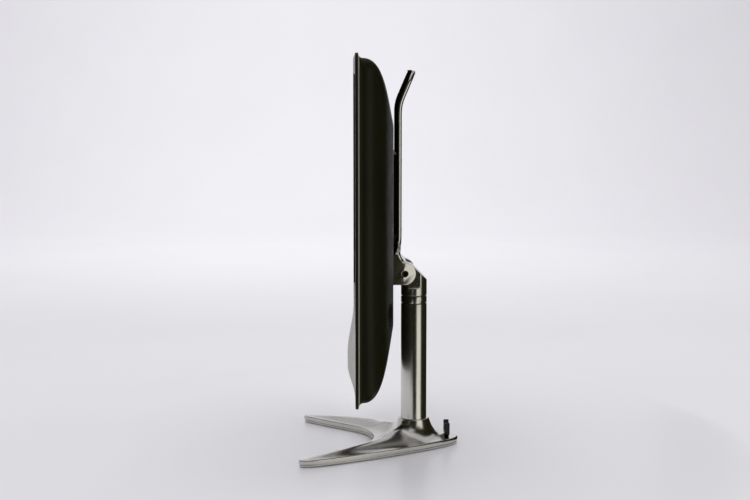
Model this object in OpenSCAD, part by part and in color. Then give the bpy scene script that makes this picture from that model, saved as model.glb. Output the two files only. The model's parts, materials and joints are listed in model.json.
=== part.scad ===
// Flat screen tv on a column stand with a two-legged foot.
// The screen faces -Y, the width runs along X and the floor is Z = 0.
// The origin is the middle of the footprint. Places below are measured from the column's axis.

/* [Screen and panel] */
// Width of the lit screen
screen_w = 408; // [380:1:430]
// Height of the lit screen
screen_h = 306; // [290:1:320]
// Frame beside the lit screen, each side
frame_side = 30; // [28:1:36]
// Frame above the lit screen
frame_top = 24; // [23:1:30]
// Frame below the lit screen
frame_bottom = 92; // [90:1:100]
// Height of the panel's lower edge above the floor
panel_clearance = 100; // [80:1:120]
// Depth of the panel from the rim to the flat back
panel_depth = 47.5; // [46:0.5:56]
// Thickness of the front rim
rim_t = 4; // [3.5:0.1:5]
// How far the rim stands proud of the rear cover
rim_proud = 6; // [5.5:0.1:7]
// Radius of the cove behind the rim
cove_r = 5; // [4:0.1:5.3]
// Radius of the panel's corners
corner_r = 12; // [8:1:20]
// Wall of the rear cover
cover_wall = 2.5; // [2:0.1:3]
// How far the flat back stays in from the cover's edge
back_inset = 80; // [70:1:84]

/* [Bowed grille] */
// Width of the speaker grille
grille_w = 396; // [380:1:400]
// Height of the speaker grille
grille_h = 84; // [78:1:86]
// Height of the grille's lower edge above the panel's
grille_lift = 3; // [2:0.5:4]
// How far the bow swells forward
bow_depth = 9.2; // [6:0.1:12]
// Height of the bow's full part
bow_full_h = 22; // [16:1:28]
// Depth of the grille's seat in the bezel
grille_seat = 1.5; // [1:0.1:2]

/* [Bracket and handle] */
// Width of the bracket
spine_w = 150; // [140:1:160]
// Thickness of the bracket plate
spine_t = 5; // [4:0.1:6]
// Gap between the rear cover and the bracket
spine_gap = 8; // [6:0.5:10]
// Distance from the column's axis to the bracket's rear face
spine_back = 19.5; // [18.5:0.1:22]
// Height of the bend where the handle starts
bend_z = 448; // [420:1:460]
// Radius of the handle's bend, on the rear face
bend_r = 50; // [30:1:70]
// Lean of the handle
handle_angle = 23; // [15:1:30]
// Straight length of the handle
handle_len = 34; // [24:1:40]
// Radius of the handle's corners
handle_corner = 22; // [10:1:30]
// Width of the yoke that straddles the tilt head
yoke_w = 62; // [58:1:70]
// Radius of the yoke's ears
ear_r = 14.8; // [14.5:0.1:17]
// Radius of the hollow between plate and ears
ear_fillet = 16; // [14:1:20]
// Height of the middle of the bracket's screws
screw_mid_z = 342; // [330:1:350]
// Distance between the bracket's screws, upright
screw_rows_h = 90; // [75:1:100]
// Distance between the bracket's screws, across
screw_rows_w = 90; // [80:1:96]

/* [Tilt head] */
// Height of the tilt pivot
pivot_z = 236; // [234:1:240]
// Distance of the tilt pivot in front of the column's axis
pivot_front = 13.3; // [12:0.1:14]
// Diameter of the pivot pin
pin_d = 8.4; // [7:0.1:9]
// Width of the head between the yoke's ears
cheek_w = 30.4; // [28:0.1:32]
// Radius of the knuckle round the pivot
knuckle_r = 12; // [11:0.1:13]
// Height of the head's top above the pivot
head_rise = 10.2; // [9:0.1:11]
// Thickness of a friction washer
friction_t = 0.9; // [0.8:0.1:1.5]

/* [Column] */
// Diameter of the column
column_d = 34.6; // [33:0.2:36]
// Wall of the column tube
column_wall = 3; // [2:0.1:4]
// Height of the head's underside
swivel_z = 204; // [198:0.5:206]
// Height of the swivel ring
ring_h = 9; // [6:0.5:12]
// Height of each groove beside the ring
groove_h = 1; // [0.8:0.1:1.5]
// Depth of each groove
groove_depth = 1.3; // [0.8:0.1:2]
// Diameter of the swivel spindle
spindle_d = 16; // [12:0.5:18]
// Length of the bush in the column
bush_len = 29; // [20:1:40]

/* [Foot] */
// Width across the legs
foot_w = 248; // [238:1:270]
// Reach of the legs in front of the column's axis
foot_front = 152; // [146:1:165]
// Reach of the foot behind the column's axis
foot_rear = 60; // [56:1:64]
// Distance of the fork between the legs in front of the column's axis
fork_y = 54; // [53:1:58]
// Height of the casting's edge
edge_h = 5.8; // [5:0.1:8]
// Thickness of the foot plate
foot_plate_t = 3.2; // [2.6:0.1:4]
// How far the foot plate stays in from the edge
plate_inset = 0.8; // [0.5:0.1:3]
// Thickness of a rubber foot
pad_t = 1; // [0.6:0.1:2]
// Diameter of a rubber foot
pad_d = 13; // [10:1:14]
// Diameter of the collar
collar_d = 41.2; // [39:0.2:44]
// Height of the collar above the floor
collar_z = 36; // [30:0.2:38]
// Length over which the collar flares out
flare_len = 6.5; // [6:0.5:14]
// Crown of the whole foot
crown_h = 1; // [1:0.1:3]
// Height of the ridge along each leg
ridge_h = 11.5; // [8:0.5:14]

/* [Cable clip] */
// Width of the clip
clip_w = 24; // [20:1:30]
// Thickness of the clip, front to back
clip_t = 7; // [6:0.5:9]
// Height of the clip
clip_h = 17.5; // [14:0.5:24]
// Wall of the clip's prongs
clip_wall = 4; // [3:0.5:5]
// Distance of the clip behind the column's axis
clip_y = 45; // [42:0.5:47]

/* [Keys] */
// Diameter of a key
key_d = 7; // [6:0.1:7.4]
// Travel of a key
key_travel = 1.2; // [0.8:0.1:1.5]
// How far a key stands out of the cover
key_proud = 1.6; // [1.3:0.1:2]
// Distance between keys
key_step_h = 18; // [14:1:20]
// Height of the lowest key
key_z = 285; // [280:1:295]

/* [Inside] */
// Diameter of a lamp tube
lamp_d = 4; // [3:0.1:5]
// Number of lamp tubes
lamp_count = 8; // [6:1:10]
// Thickness of the lcd glass
glass_t = 2.2; // [1.5:0.1:3]
// Thickness of the diffuser sheet
diffuser_t = 1.8; // [1:0.1:2.5]
// Depth of the lamp tray
tray_depth = 12; // [11:0.5:13]
// Thickness of sheet metal parts
sheet_t = 1.2; // [0.8:0.1:1.5]
// Thickness of the chassis plate
chassis_t = 1.5; // [1:0.1:2]
// Thickness of a circuit board
board_t = 1.6; // [1:0.1:2]
// Height of the board standoffs
standoff_h = 6; // [4:0.5:7]
// Radius of a speaker's cone opening
speaker_r = 22; // [18:0.5:23]
// Distance of the speakers from the middle
speaker_x = 150; // [146:1:155]
// Radius of the bass port's bore
port_r = 14.8; // [12:0.1:15]
// Diameter of a jack barrel
jack_d = 8.3; // [7:0.1:9]

/* [Fits] */
// Radial clearance of a turning fit
run_clear = 0.05; // [0.02:0.01:0.1]
// Clearance round a key or a loose part
free_clear = 0.3; // [0.2:0.05:0.4]
// Radial clearance of a screw in its hole
screw_clear = 0.2; // [0.1:0.05:0.3]

/* [Hidden] */
$fn = 64;

// Overlap of a cut past the face that it opens
cut = 1;

// The column's axis lies behind the middle of the footprint
column_y = (foot_front - foot_rear) / 2;

// Panel sizes and planes, from the front to the back
panel_w = screen_w + 2 * frame_side;
panel_h = screen_h + frame_top + frame_bottom;
panel_low = panel_clearance;
panel_high = panel_low + panel_h;
panel_mid = (panel_low + panel_high) / 2;
screen_high = panel_high - frame_top;
screen_low = screen_high - screen_h;
screen_mid = (screen_high + screen_low) / 2;
back_y = -(spine_back + spine_t + spine_gap);
front_y = back_y - panel_depth;
rim_y = front_y + rim_t;
seam_y = rim_y + cove_r;
wall_y = back_y - cover_wall;
cover_w = panel_w - 2 * rim_proud;
cover_h = panel_h - 2 * rim_proud;
cover_depth = back_y - seam_y;
cover_curve = [[0, 0], [0.6, 0], [0.75, 0.43], [1, 1]];
cover_steps = 12;
cover_points = [for (i = [0 : cover_steps]) bez(cover_curve, i / cover_steps)];

// Screen module behind the bezel's window
glass_border = 6;
module_gap = 0.5;
glass_w = screen_w + 2 * glass_border;
glass_h = screen_h + 2 * glass_border;
glass_back = rim_y + glass_t;
tray_front = glass_back + diffuser_t;
tray_back = tray_front + tray_depth;
tray_lip = 2;
tray_w = glass_w + 2 * tray_lip;
tray_h = glass_h + 2 * tray_lip;
tray_low = screen_mid - tray_h / 2;
tray_corner = 0.6 * corner_r;
chassis_back = tray_back + chassis_t;
board_front = chassis_back + standoff_h;
board_back = board_front + board_t;
rib_t = 2.5;
bezel_wall = 11.5;
grille_low = panel_low + grille_lift;
chin_low = panel_low + rim_proud + bezel_wall;
chin_high = tray_low - module_gap - rib_t;

// Brackets that hold the screen module to the bezel
bracket_h = 20;
bracket_foot = 12;
bracket_low = 33;
bracket_high = 43;
bracket_z = [screen_low + bracket_low, screen_high - bracket_high];
bracket_screw_r = 1.5;
bracket_screw_out = 7;
bracket_screw_x = tray_w / 2 + bracket_screw_out;
bracket_screw_head = 1.8;
bracket_screw_len = 5.5;
screw_runout = 0.5;

// Height of the bass port and of the chamber's top above it
port_lift = 11.5;
port_z = screen_low + port_lift;
chamber_rise = 18.5;

// Bracket screws through the cover into the posts
mount_screw_r = 2;
mount_head_r = 4.4;
mount_head_h = 1;
post_r = 5;
post_thread = 13;
mount_pad_edge = 8;
mount_pad_side = 17;
mount_pad_low_w = 50;
MOUNT_SCREWS = [
    for (s = [-1, 1]) for (t = [-1, 1]) [s * screw_rows_w / 2, screw_mid_z + t * screw_rows_h / 2]
];

// Screws that hold the cover to the chassis plate's outer posts
cover_screw_r = 1.5;
cover_head_r = 3;
cover_head_h = 1.4;
cover_head_sink = 1.2;
cover_thread = 9;

// Boards on the chassis plate, beside the cover's posts
board_w = 80;
main_board_h = 204;
power_board_h = 190;
board_x = 91;
post_gap = 2;
post_edge = 10;
flat_high = panel_high - rim_proud - back_inset;
cover_post_x = board_x + board_w / 2 + post_r + post_gap;
cover_post_z = [port_z + chamber_rise + post_r + post_gap, flat_high - post_edge];
chassis_side = 1.5;
chassis_rim = 24;
chassis_lift = 8;
main_lift = 22;
power_lift = 38;
chassis_low = tray_low + chassis_lift;
chassis_high = cover_post_z[1] + chassis_rim;
chassis_w = 2 * (cover_post_x + post_r + chassis_side);
chassis_h = chassis_high - chassis_low;
main_low = chassis_low + main_lift;
power_low = chassis_low + power_lift;
COVER_SCREWS = [for (s = [-1, 1]) for (z = cover_post_z) [s * cover_post_x, z]];
standoff_r = 3;
standoff_edge = 6;
STANDOFFS = concat(
    [for (s = [-1, 1]) for (z = [main_low + standoff_edge, main_low + main_board_h - standoff_edge])
        [-board_x + s * (board_w / 2 - standoff_edge), z]],
    [for (s = [-1, 1]) for (z = [power_low + standoff_edge, power_low + power_board_h - standoff_edge])
        [board_x + s * (board_w / 2 - standoff_edge), z]]
);

// Sockets on the main board, which reach through the jack plate
jack_lift = 18;
jack_row_z = main_low + jack_lift;
jack_plate_h = 28;
jack_window_edge = 3;
jack_reach = 4.5;
jack_step = 15;
jack_pin_d = 3.2;
jack_pin_depth = 7;
antenna_d = 9.5;
antenna_bore_d = 7;
antenna_depth = 8;
inlet_w = 14;
inlet_h = 11;
inlet_bore_d = 6.4;
inlet_depth = 9;
av_x = [for (i = [-1, 0, 1]) -board_x + i * jack_step];
antenna_x = -board_x - 2 * jack_step;
inlet_x = -board_x + 2 * jack_step;
housing_w = 13;
housing_h = 18;

// Speakers, their boxes and the bass ports
speaker_flange = 4.5;
speaker_z = (chin_low + chin_high) / 2;
speaker_flange_t = 2;
basket_h = 8;
basket_wall = 1.2;
magnet_r = 16;
magnet_h = 6.3;
box_wall = 2;
box_w = 78;
box_gap = 0.6;
box_back = rim_y + speaker_flange_t + basket_h + magnet_h + box_gap + box_wall;
box_lift = 2.5;
box_out = 1;
box_low = chin_low + box_lift;
box_high = chin_high - box_gap;
box_x = speaker_x + box_out;
port_wall = 1.5;
port_out = 15.5;
port_x = speaker_x + port_out;
chamber_w = 42;
chamber_gap = 1;
chamber_depth = 12;
chamber_front = chassis_back + chamber_gap;
chamber_back = chamber_front + chamber_depth;
chamber_low = speaker_z;
chamber_high = port_z + chamber_rise;

// Signs at the right of the grille
sign_out = 8.5;
remote_r = 4;
light_r = 2;
remote_lift = 22;
light_lift = 8;
remote_z = chin_low + remote_lift;
light_z = chin_low + light_lift;
signal_board_w = 11;
sign_x = max(grille_w / 2 + sign_out, box_x + box_w / 2 + signal_board_w / 2 + module_gap);
chin_w = max(tray_w, 2 * sign_x + signal_board_w) + 2 * module_gap;
signal_board_h = 26;

// Keys on the side wall
key_back = 5;
key_y = seam_y + key_back;
key_names = ["power", "input", "channel_up", "channel_down", "volume_up", "volume_down"];
key_flange = 1.1;
key_flange_t = 1.5;
key_wall_x = -(cover_w / 2);
key_inner_x = key_wall_x + cover_wall;
key_flange_rear = key_y + key_d / 2 + key_flange;
key_flange_x = key_inner_x + inner_draw(key_flange_rear) + free_clear;
key_stem_x = key_flange_x + key_flange_t;
switch_w = 6;
switch_h = 2.4;
switch_gap = 0.8;
key_board_x = key_stem_x + key_travel + switch_gap + switch_h;
key_board_w = 14;
key_board_edge = 8;

// Bracket profile
plate_front = -(spine_back + spine_t);
plate_rear = -spine_back;
pivot_y = -pivot_front;
washer_gap = friction_t + 2 * run_clear;
slot_w = cheek_w + 2 * washer_gap;
slot_clear = 0.5;
slot_r = ear_r + slot_clear;
fillet_y = plate_rear + ear_fillet;
fillet_z = pivot_z + sqrt(pow(ear_fillet + ear_r, 2) - pow(fillet_y - pivot_y, 2));
yoke_low = pivot_z - ear_r;
ear_taper = 14;
ear_taper_lead = 2;
yoke_web = 14;
yoke_web_z = pivot_z + yoke_web;
spine_web_rise = 3;
flare_lift = 19;
flare_h = 37;
flare_low = pivot_z + flare_lift;
flare_high = flare_low + flare_h;
handle_top = bend_z + (bend_r + spine_t) * sin(handle_angle) + handle_len * cos(handle_angle) + spine_t;
pin_recess = 2;
pin_socket = 5;
pin_socket_depth = 3;

// Tilt head
head_r = column_d / 2;
head_top = pivot_z + head_rise;
slope_angle = 45;
slope_lift = 6.4;
slope_sum = pivot_z + slope_lift;
cheek_lift = 10.5;
cheek_low = swivel_z + cheek_lift;
cheek_corner = 5;
tilt_bush_wall = 2.3;
tilt_bush_len = 10;
head_bore_relief = 1;
spindle_seat = 14.5;

// Column and swivel
groove_r = head_r - groove_depth;
ring_top = swivel_z - groove_h;
ring_low = ring_top - ring_h;
tube_top = ring_low - groove_h;
tube_inner = head_r - column_wall;
spindle_r = spindle_d / 2;
nut_h = 8.5;
nut_gap = 0.5;
nut_wall = 3.4;
nut_r = spindle_r + nut_wall;
bush_low = tube_top - bush_len;
nut_low = bush_low - nut_gap - nut_h;

// Foot
plate_low = pad_t;
casting_low = plate_low + foot_plate_t;
edge_z = casting_low + edge_h;
edge_bevel = 1.2;
socket_floor = 3.8;
tube_low = casting_low + socket_floor;
collar_r = collar_d / 2;
plug_h = 20;
bolt_r = 4;
bolt_head_r = 6.5;
bolt_head_h = 2.9;
bolt_len = 20;
foot_screw_r = 2;
foot_screw_head_r = 3.8;
foot_screw_head_h = 1.6;
foot_screw_len = 6;
leg_x = foot_w / 2;
leg_screw_in = 36;
leg_screw_back = 59;
rear_screw_x = 28;
rear_screw_y = 12;
leg_screw = [leg_x - leg_screw_in, leg_screw_back - foot_front];
rear_screw = [rear_screw_x, rear_screw_y];
FOOT_SCREWS = [for (s = [-1, 1]) for (p = [leg_screw, rear_screw]) [s * p[0], p[1]]];
pad_rear = 15;
pad_tip_in = 20.5;
pad_tip_back = 34;
pad_leg_in = 64;
pad_leg_back = 102;
pad_tip = [leg_x - pad_tip_in, pad_tip_back - foot_front];
pad_leg = [leg_x - pad_leg_in, pad_leg_back - foot_front];
PADS = concat(
    [[0, -column_y], [0, foot_rear - pad_rear]],
    [for (s = [-1, 1]) for (p = [pad_tip, pad_leg]) [s * p[0], p[1]]]
);
foot_screw_runout = 0.5;
bolt_head_clear = 1;

// Point at u on a cubic curve
function bez(p, u) = pow(1 - u, 3) * p[0] + 3 * pow(1 - u, 2) * u * p[1]
    + 3 * (1 - u) * pow(u, 2) * p[2] + pow(u, 3) * p[3];

// Points of a cubic curve in n steps, without its last point
function curve(p, n) = [for (i = [0 : n - 1]) bez(p, i / n)];

// Points of an arc from angle a0 to a1 in n steps
function arc(c, r, a0, a1, n) =
    [for (i = [0 : n]) let (a = a0 + (a1 - a0) * i / n) c + r * [cos(a), sin(a)]];

// Rounded rectangle in the plane of the screen, at depth y, drawn in by inset
corner_steps = 6;
corner_shrink = 14;
function panel_ring(inset, y, steps = corner_steps) =
    let (hw = panel_w / 2 - inset, hh = panel_h / 2 - inset, r = corner_r - inset / corner_shrink)
    [for (c = [0 : 3]) for (i = [0 : steps])
        let (a = 90 * c + 90 * i / steps, sx = (c == 0 || c == 3) ? 1 : -1, sz = c < 2 ? 1 : -1)
        [sx * (hw - r) + r * cos(a), y, panel_mid + sz * (hh - r) + r * sin(a)]];

// Cover section: how far it is drawn in at each depth, from the seam to the flat back
function cover_rings(wall, lead) =
    let (depth = cover_depth - wall, draw = back_inset)
    concat(
        lead > 0 ? [panel_ring(rim_proud + wall, seam_y - lead)] : [],
        [for (p = cover_points) panel_ring(rim_proud + wall + draw * p[1], seam_y + depth * p[0])]
    );

// How far the cover's inner wall is drawn in at depth y
function inner_draw(y) = back_inset * lookup((y - seam_y) / (cover_depth - cover_wall), cover_points);

// Swell of the bow at x across and z above the grille's lower edge
bow_round = 6;
function ease(t) = (1 + cos(180 * min(max(t, 0), 1))) / 2;
function bow(x, z) =
    let (low = z < bow_round ? sqrt(max(1 - pow(1 - z / bow_round, 2), 0)) : 1)
    bow_depth * ease(abs(x) / (grille_w / 2)) * low * ease((z - bow_full_h) / (grille_h - bow_full_h));

// Half outline of the foot, from the fork round the leg's tip to the rear, with its turns at each point
shoulder_in = 60;
shoulder_y = 14;
tip_out_in = 0.5;
tip_out_back = 14;
tip_end_in = 5;
tip_in_in = 26;
tip_in_back = 21;
fork_side_x = 44;
fork_side_y = 14.5;
shoulder = [leg_x - shoulder_in, -shoulder_y];
tip_out = [leg_x - tip_out_in, tip_out_back - foot_front];
tip_end = [leg_x - tip_end_in, -foot_front];
tip_in = [leg_x - tip_in_in, tip_in_back - foot_front];
fork_side = [fork_side_x, -(fork_y + fork_side_y)];
fork_turn = [11, -9];
fork_round = [14, 0];
tip_in_turn = [8.5, -9];
tip_round = [5, 0];
tip_out_turn = [-0.6, 9];
shoulder_turn = [-19, 31];
rear_round = [14, 0];
rear_end = [0, foot_rear];
foot_steps = 6;
foot_half = concat(
    curve([[0, -fork_y], [0, -fork_y] + fork_round, fork_side - fork_turn, fork_side], foot_steps),
    curve([fork_side, fork_side + 1.75 * fork_turn, tip_in - 2.25 * tip_in_turn, tip_in], foot_steps),
    curve([tip_in, tip_in + tip_in_turn, tip_end - tip_round, tip_end], foot_steps),
    curve([tip_end, tip_end + tip_round, tip_out - tip_out_turn, tip_out], foot_steps),
    curve([tip_out, tip_out + 2 * tip_out_turn, shoulder - shoulder_turn, shoulder], foot_steps),
    curve([shoulder, shoulder + 1.75 * shoulder_turn, rear_end + rear_round, rear_end], foot_steps + 2)
);
foot_outline = concat(
    foot_half,
    [rear_end],
    [for (i = [len(foot_half) - 1 : -1 : 1]) [-foot_half[i][0], foot_half[i][1]]]
);

// Outline moved inwards by d along its own normals
function inset_outline(path, d) =
    let (n = len(path))
    [for (i = [0 : n - 1])
        let (t = path[(i + 1) % n] - path[(i + n - 1) % n], l = norm(t))
        path[i] + d * [-t[1], t[0]] / l];

// Height of the foot's top at a point: edge, crown, a ridge along each leg and flare up to the collar
crown_len = 12;
ridge_len = 15;
ridge_reach = 215;
ridge_fade = 2.2;
ridge_turn = 42;
ridge_spread = 28;
function edge_distance(p) = min([for (q = foot_outline) norm(p - q)]);
function foot_top(p) =
    let (
        gap = edge_distance(p),
        turn = (atan2(abs(p[0]), -p[1]) - ridge_turn) / ridge_spread,
        along = 1 - pow(norm(p) / ridge_reach, ridge_fade),
        flare = exp(-(norm(p) - collar_r) / flare_len),
        ridge = ridge_h * along * exp(-turn * turn) * (1 - exp(-pow(gap / ridge_len, 2))),
        rise = crown_h * (1 - exp(-pow(gap / crown_len, 2))) + ridge
    )
    edge_z + rise * (1 - flare) + (collar_z - edge_z) * flare;

foot_radial_steps = 9;
foot_edge_ring = inset_outline(foot_outline, edge_bevel);
foot_rings = concat(
    [for (j = [0 : foot_radial_steps])
        let (s = pow(j / foot_radial_steps, 1.5))
        [for (p = foot_edge_ring)
            let (
                c = collar_r * p / norm(p),
                q = c + (p - c) * s,
                h = j == foot_radial_steps ? edge_z : foot_top(q)
            )
            [q[0], q[1], h]]],
    [[for (p = foot_outline) [p[0], p[1], edge_z - edge_bevel]]],
    [[for (p = foot_outline) [p[0], p[1], casting_low]]],
    [[for (p = foot_outline) let (c = collar_r * p / norm(p)) [c[0], c[1], casting_low]]]
);

// Solid through a list of rings with equal counts, seen anticlockwise from the first ring's side
// A fan closes the ends from the last point of a ring
module skin(rings, fan = false) {
    n = len(rings[0]);
    m = len(rings);
    sides = [for (i = [0 : m - 2]) for (k = [0 : n - 1])
        let (a = i * n + k, b = i * n + (k + 1) % n)
        each [[a, b, b + n], [a, b + n, a + n]]];
    top = (m - 1) * n;
    first = fan
        ? [for (k = [0 : n - 3]) [n - 1, k + 1, k]]
        : [[for (k = [n - 1 : -1 : 0]) k]];
    last = fan
        ? [for (k = [0 : n - 3]) [top + n - 1, top + k, top + k + 1]]
        : [[for (k = [0 : n - 1]) top + k]];
    polyhedron(points = [for (r = rings) each r], faces = concat(first, sides, last));
}

module at_column() translate([0, column_y, 0]) children();

// Side view drawn as [Y, Z], given a width along X about the middle
module side_extrude(w) translate([-w / 2, 0, 0]) rotate([90, 0, 90]) linear_extrude(w) children();

// Front view drawn as [X, Z], given its depth from y0 back to y1
module front_extrude(y0, y1) translate([0, y1, 0]) rotate([90, 0, 0]) linear_extrude(y1 - y0) children();

// Block from its middle in X and Z and its two depths
module slab(x, z, w, h, y0, y1) translate([x - w / 2, y0, z - h / 2]) cube([w, y1 - y0, h]);

// Round bar along Y
module bar_y(x, z, r, y0, y1) translate([x, y0, z]) rotate([-90, 0, 0]) cylinder(r = r, h = y1 - y0);

// Round bar along X
module bar_x(y, z, r, x0, x1) translate([x0, y, z]) rotate([0, 90, 0]) cylinder(r = r, h = x1 - x0);

// Round bar along Z
module bar_z(p, r, z0, z1) translate([p[0], p[1], z0]) cylinder(r = r, h = z1 - z0);

module both_sides() {
    children();
    mirror([1, 0, 0]) children();
}

// Front bezel: rim, cove and the wall that the cover closes on
rim_round = 0.9;
rim_back_round = 0.4;
rim_back_len = 1;
bezel_rings = concat(
    [panel_ring(rim_round, front_y), panel_ring(0, front_y + rim_round)],
    [panel_ring(0, rim_y - rim_back_len), panel_ring(rim_back_round, rim_y)],
    [for (i = [0 : 4])
        let (a = 90 * i / 4, r = cove_r)
        panel_ring(rim_proud - r + r * sin(a), seam_y - r * cos(a))]
);

module front_bezel() color([0.07, 0.07, 0.05]) at_column() difference() {
    skin(bezel_rings);
    slab(0, screen_mid, screen_w, screen_h, front_y - cut, rim_y + cut);
    slab(0, screen_mid, tray_w + 2 * module_gap, tray_h + 2 * module_gap, rim_y, seam_y + cut);
    slab(0, (chin_low + chin_high) / 2, chin_w, chin_high - chin_low, rim_y, seam_y + cut);
    slab(0, grille_low + grille_h / 2, grille_w, grille_h, front_y - cut, front_y + grille_seat);
    for (s = [-1, 1]) bar_y(s * speaker_x, speaker_z, speaker_r, front_y, rim_y + cut);
    bar_y(sign_x, remote_z, remote_r + screw_clear, front_y - cut, rim_y + cut);
    bar_y(sign_x, light_z, light_r + screw_clear, front_y - cut, rim_y + cut);
    for (s = [-1, 1]) for (z = bracket_z)
        bar_y(s * bracket_screw_x, z, bracket_screw_r + screw_clear,
            seam_y - bracket_screw_len - screw_runout, seam_y + cut);
}

// Speaker grille: swells forward in the middle and dies out at its ends and top
grille_across = 24;
grille_up = 12;
grille_rings = [for (i = [0 : grille_across])
    let (x = -grille_w / 2 + grille_w * i / grille_across)
    concat(
        [for (j = [0 : grille_up])
            let (z = grille_h * pow(j / grille_up, 1.4))
            [x, front_y - bow(x, z), grille_low + z]],
        [[x, front_y + grille_seat, grille_low + grille_h], [x, front_y + grille_seat, grille_low]]
    )];

module speaker_grille() color([0.62, 0.62, 0.58]) at_column() skin(grille_rings, fan = true);

module remote_window() color([0.12, 0.02, 0.03]) at_column()
    bar_y(sign_x, remote_z, remote_r, front_y, rim_y);

module power_light() color([0.3, 0.8, 0.3]) at_column() bar_y(sign_x, light_z, light_r, front_y, rim_y);

module signal_board() color([0.1, 0.35, 0.15]) at_column()
    slab(sign_x, (remote_z + light_z) / 2, signal_board_w, signal_board_h, rim_y, rim_y + board_t);

// Screen module
module lcd_glass() color([0.03, 0.03, 0.04]) at_column()
    slab(0, screen_mid, glass_w, glass_h, rim_y, glass_back);

module diffuser_sheet() color([0.93, 0.93, 0.9]) at_column()
    slab(0, screen_mid, glass_w, glass_h, glass_back, tray_front);

lamp_y = (tray_front + tray_back - sheet_t) / 2;
holder_w = 7.5;
holder_x = tray_w / 2 - sheet_t - holder_w / 2;
holder_h = tray_h - 2 * (tray_corner + sheet_t);
lamp_end = 1;
lamp_half = holder_x + holder_w / 2 - lamp_end;
lamp_z = [for (i = [0 : lamp_count - 1]) screen_low + (i + 0.5) * screen_h / lamp_count];

module lamp_tubes() color([0.96, 0.96, 0.92]) at_column()
    for (z = lamp_z) bar_x(lamp_y, z, lamp_d / 2, -lamp_half, lamp_half);

module lamp_holders() color([0.9, 0.9, 0.88]) at_column() difference() {
    for (s = [-1, 1])
        slab(s * holder_x, screen_mid, holder_w, holder_h, tray_front, tray_back - sheet_t);
    for (z = lamp_z) bar_x(lamp_y, z, lamp_d / 2 + run_clear, -tray_w, tray_w);
}

// Tray outline drawn in by d, with its corners cut off
function tray_outline(d) =
    let (hw = tray_w / 2 - d, hh = tray_h / 2 - d, c = tray_corner - d / 2)
    [[hw, hh - c], [hw - c, hh], [c - hw, hh], [-hw, hh - c], [-hw, c - hh], [c - hw, -hh], [hw - c, -hh],
        [hw, c - hh]];

module lamp_tray() color([0.75, 0.76, 0.78]) at_column() translate([0, 0, screen_mid]) difference() {
    front_extrude(tray_front, tray_back) polygon(tray_outline(0));
    front_extrude(tray_front - cut, tray_back - sheet_t) polygon(tray_outline(sheet_t));
}

module panel_brackets() color([0.7, 0.71, 0.73]) at_column() both_sides() difference() {
    for (z = bracket_z) {
        slab(tray_w / 2 + bracket_foot / 2, z, bracket_foot, bracket_h, seam_y, seam_y + sheet_t);
        slab(tray_w / 2 + sheet_t / 2, z, sheet_t, bracket_h, seam_y, tray_back);
    }
    for (z = bracket_z)
        bar_y(bracket_screw_x, z, bracket_screw_r + screw_clear, seam_y - cut, seam_y + sheet_t + cut);
}

module bracket_screws() color([0.55, 0.55, 0.56]) at_column() both_sides() for (z = bracket_z) {
    bar_y(bracket_screw_x, z, bracket_screw_r, seam_y - bracket_screw_len, seam_y + sheet_t);
    bar_y(bracket_screw_x, z, 2 * bracket_screw_r, seam_y + sheet_t, seam_y + sheet_t + bracket_screw_head);
}

// Chassis plate and boards
module chassis_plate() color([0.72, 0.73, 0.75]) at_column()
    slab(0, (chassis_low + chassis_high) / 2, chassis_w, chassis_h, tray_back, chassis_back);

module board_standoffs() color([0.8, 0.68, 0.35]) at_column()
    for (p = STANDOFFS) bar_y(p[0], p[1], standoff_r, chassis_back, board_front);

module main_board() color([0.08, 0.35, 0.16]) at_column()
    slab(-board_x, main_low + main_board_h / 2, board_w, main_board_h, board_front, board_back);

module power_board() color([0.55, 0.42, 0.2]) at_column()
    slab(board_x, power_low + power_board_h / 2, board_w, power_board_h, board_front, board_back);

part_clear = 3;
part_back = wall_y - part_clear;
tuner_w = 46;
tuner_h = 30;
tuner_out = 10;
tuner_drop = 36;
tuner_x = -board_x - tuner_out;
tuner_z = main_low + main_board_h - tuner_drop;

module tuner_can() color([0.78, 0.79, 0.8]) at_column()
    slab(tuner_x, tuner_z, tuner_w, tuner_h, board_back, part_back);

fin_t = 2;
fin_gap = 5;
fin_count = 5;
fin_low = 3;
sink_w = fin_count * fin_t + (fin_count - 1) * fin_gap;
sink_in = 12;
sink_rise = 8;
sink_x = -board_x + sink_in;
sink_z = main_low + main_board_h / 2 + sink_rise;

module heat_sink() color([0.2, 0.2, 0.22]) at_column() difference() {
    slab(sink_x, sink_z, sink_w, sink_w, board_back, part_back - fin_low);
    for (i = [0 : fin_count - 2])
        slab(sink_x + (i + 1 - fin_count / 2) * (fin_t + fin_gap), sink_z, fin_gap, sink_w + 2 * cut,
            board_back + fin_t, part_back);
}

transformer_w = 34;
transformer_h = 30;
transformer_rise = 25;
transformer_z = power_low + power_board_h / 2 + transformer_rise;

module transformer() color([0.85, 0.75, 0.3]) at_column()
    slab(board_x, transformer_z, transformer_w, transformer_h, board_back, part_back);

capacitor_r = 7;
capacitor_step = 20;
capacitor_lift = 50;
capacitor_z = power_low + capacitor_lift;

module power_capacitors() color([0.12, 0.14, 0.2]) at_column()
    for (i = [-1 : 1]) bar_y(board_x + i * capacitor_step, capacitor_z, capacitor_r, board_back, part_back);

// Sockets and the plate that they reach through
module jack_plate() color([0.6, 0.61, 0.62]) at_column() difference() {
    slab(-board_x, jack_row_z, board_w, jack_plate_h, wall_y - sheet_t, wall_y);
    for (x = av_x) bar_y(x, jack_row_z, jack_d / 2 + free_clear, wall_y - sheet_t - cut, wall_y + cut);
    bar_y(antenna_x, jack_row_z, antenna_d / 2 + free_clear, wall_y - sheet_t - cut, wall_y + cut);
    slab(inlet_x + board_w / 4 - inlet_w / 2 - free_clear, jack_row_z, board_w / 2, inlet_h + 2 * free_clear,
        wall_y - sheet_t - cut, wall_y + cut);
}

jack_end = back_y + jack_reach;

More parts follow.
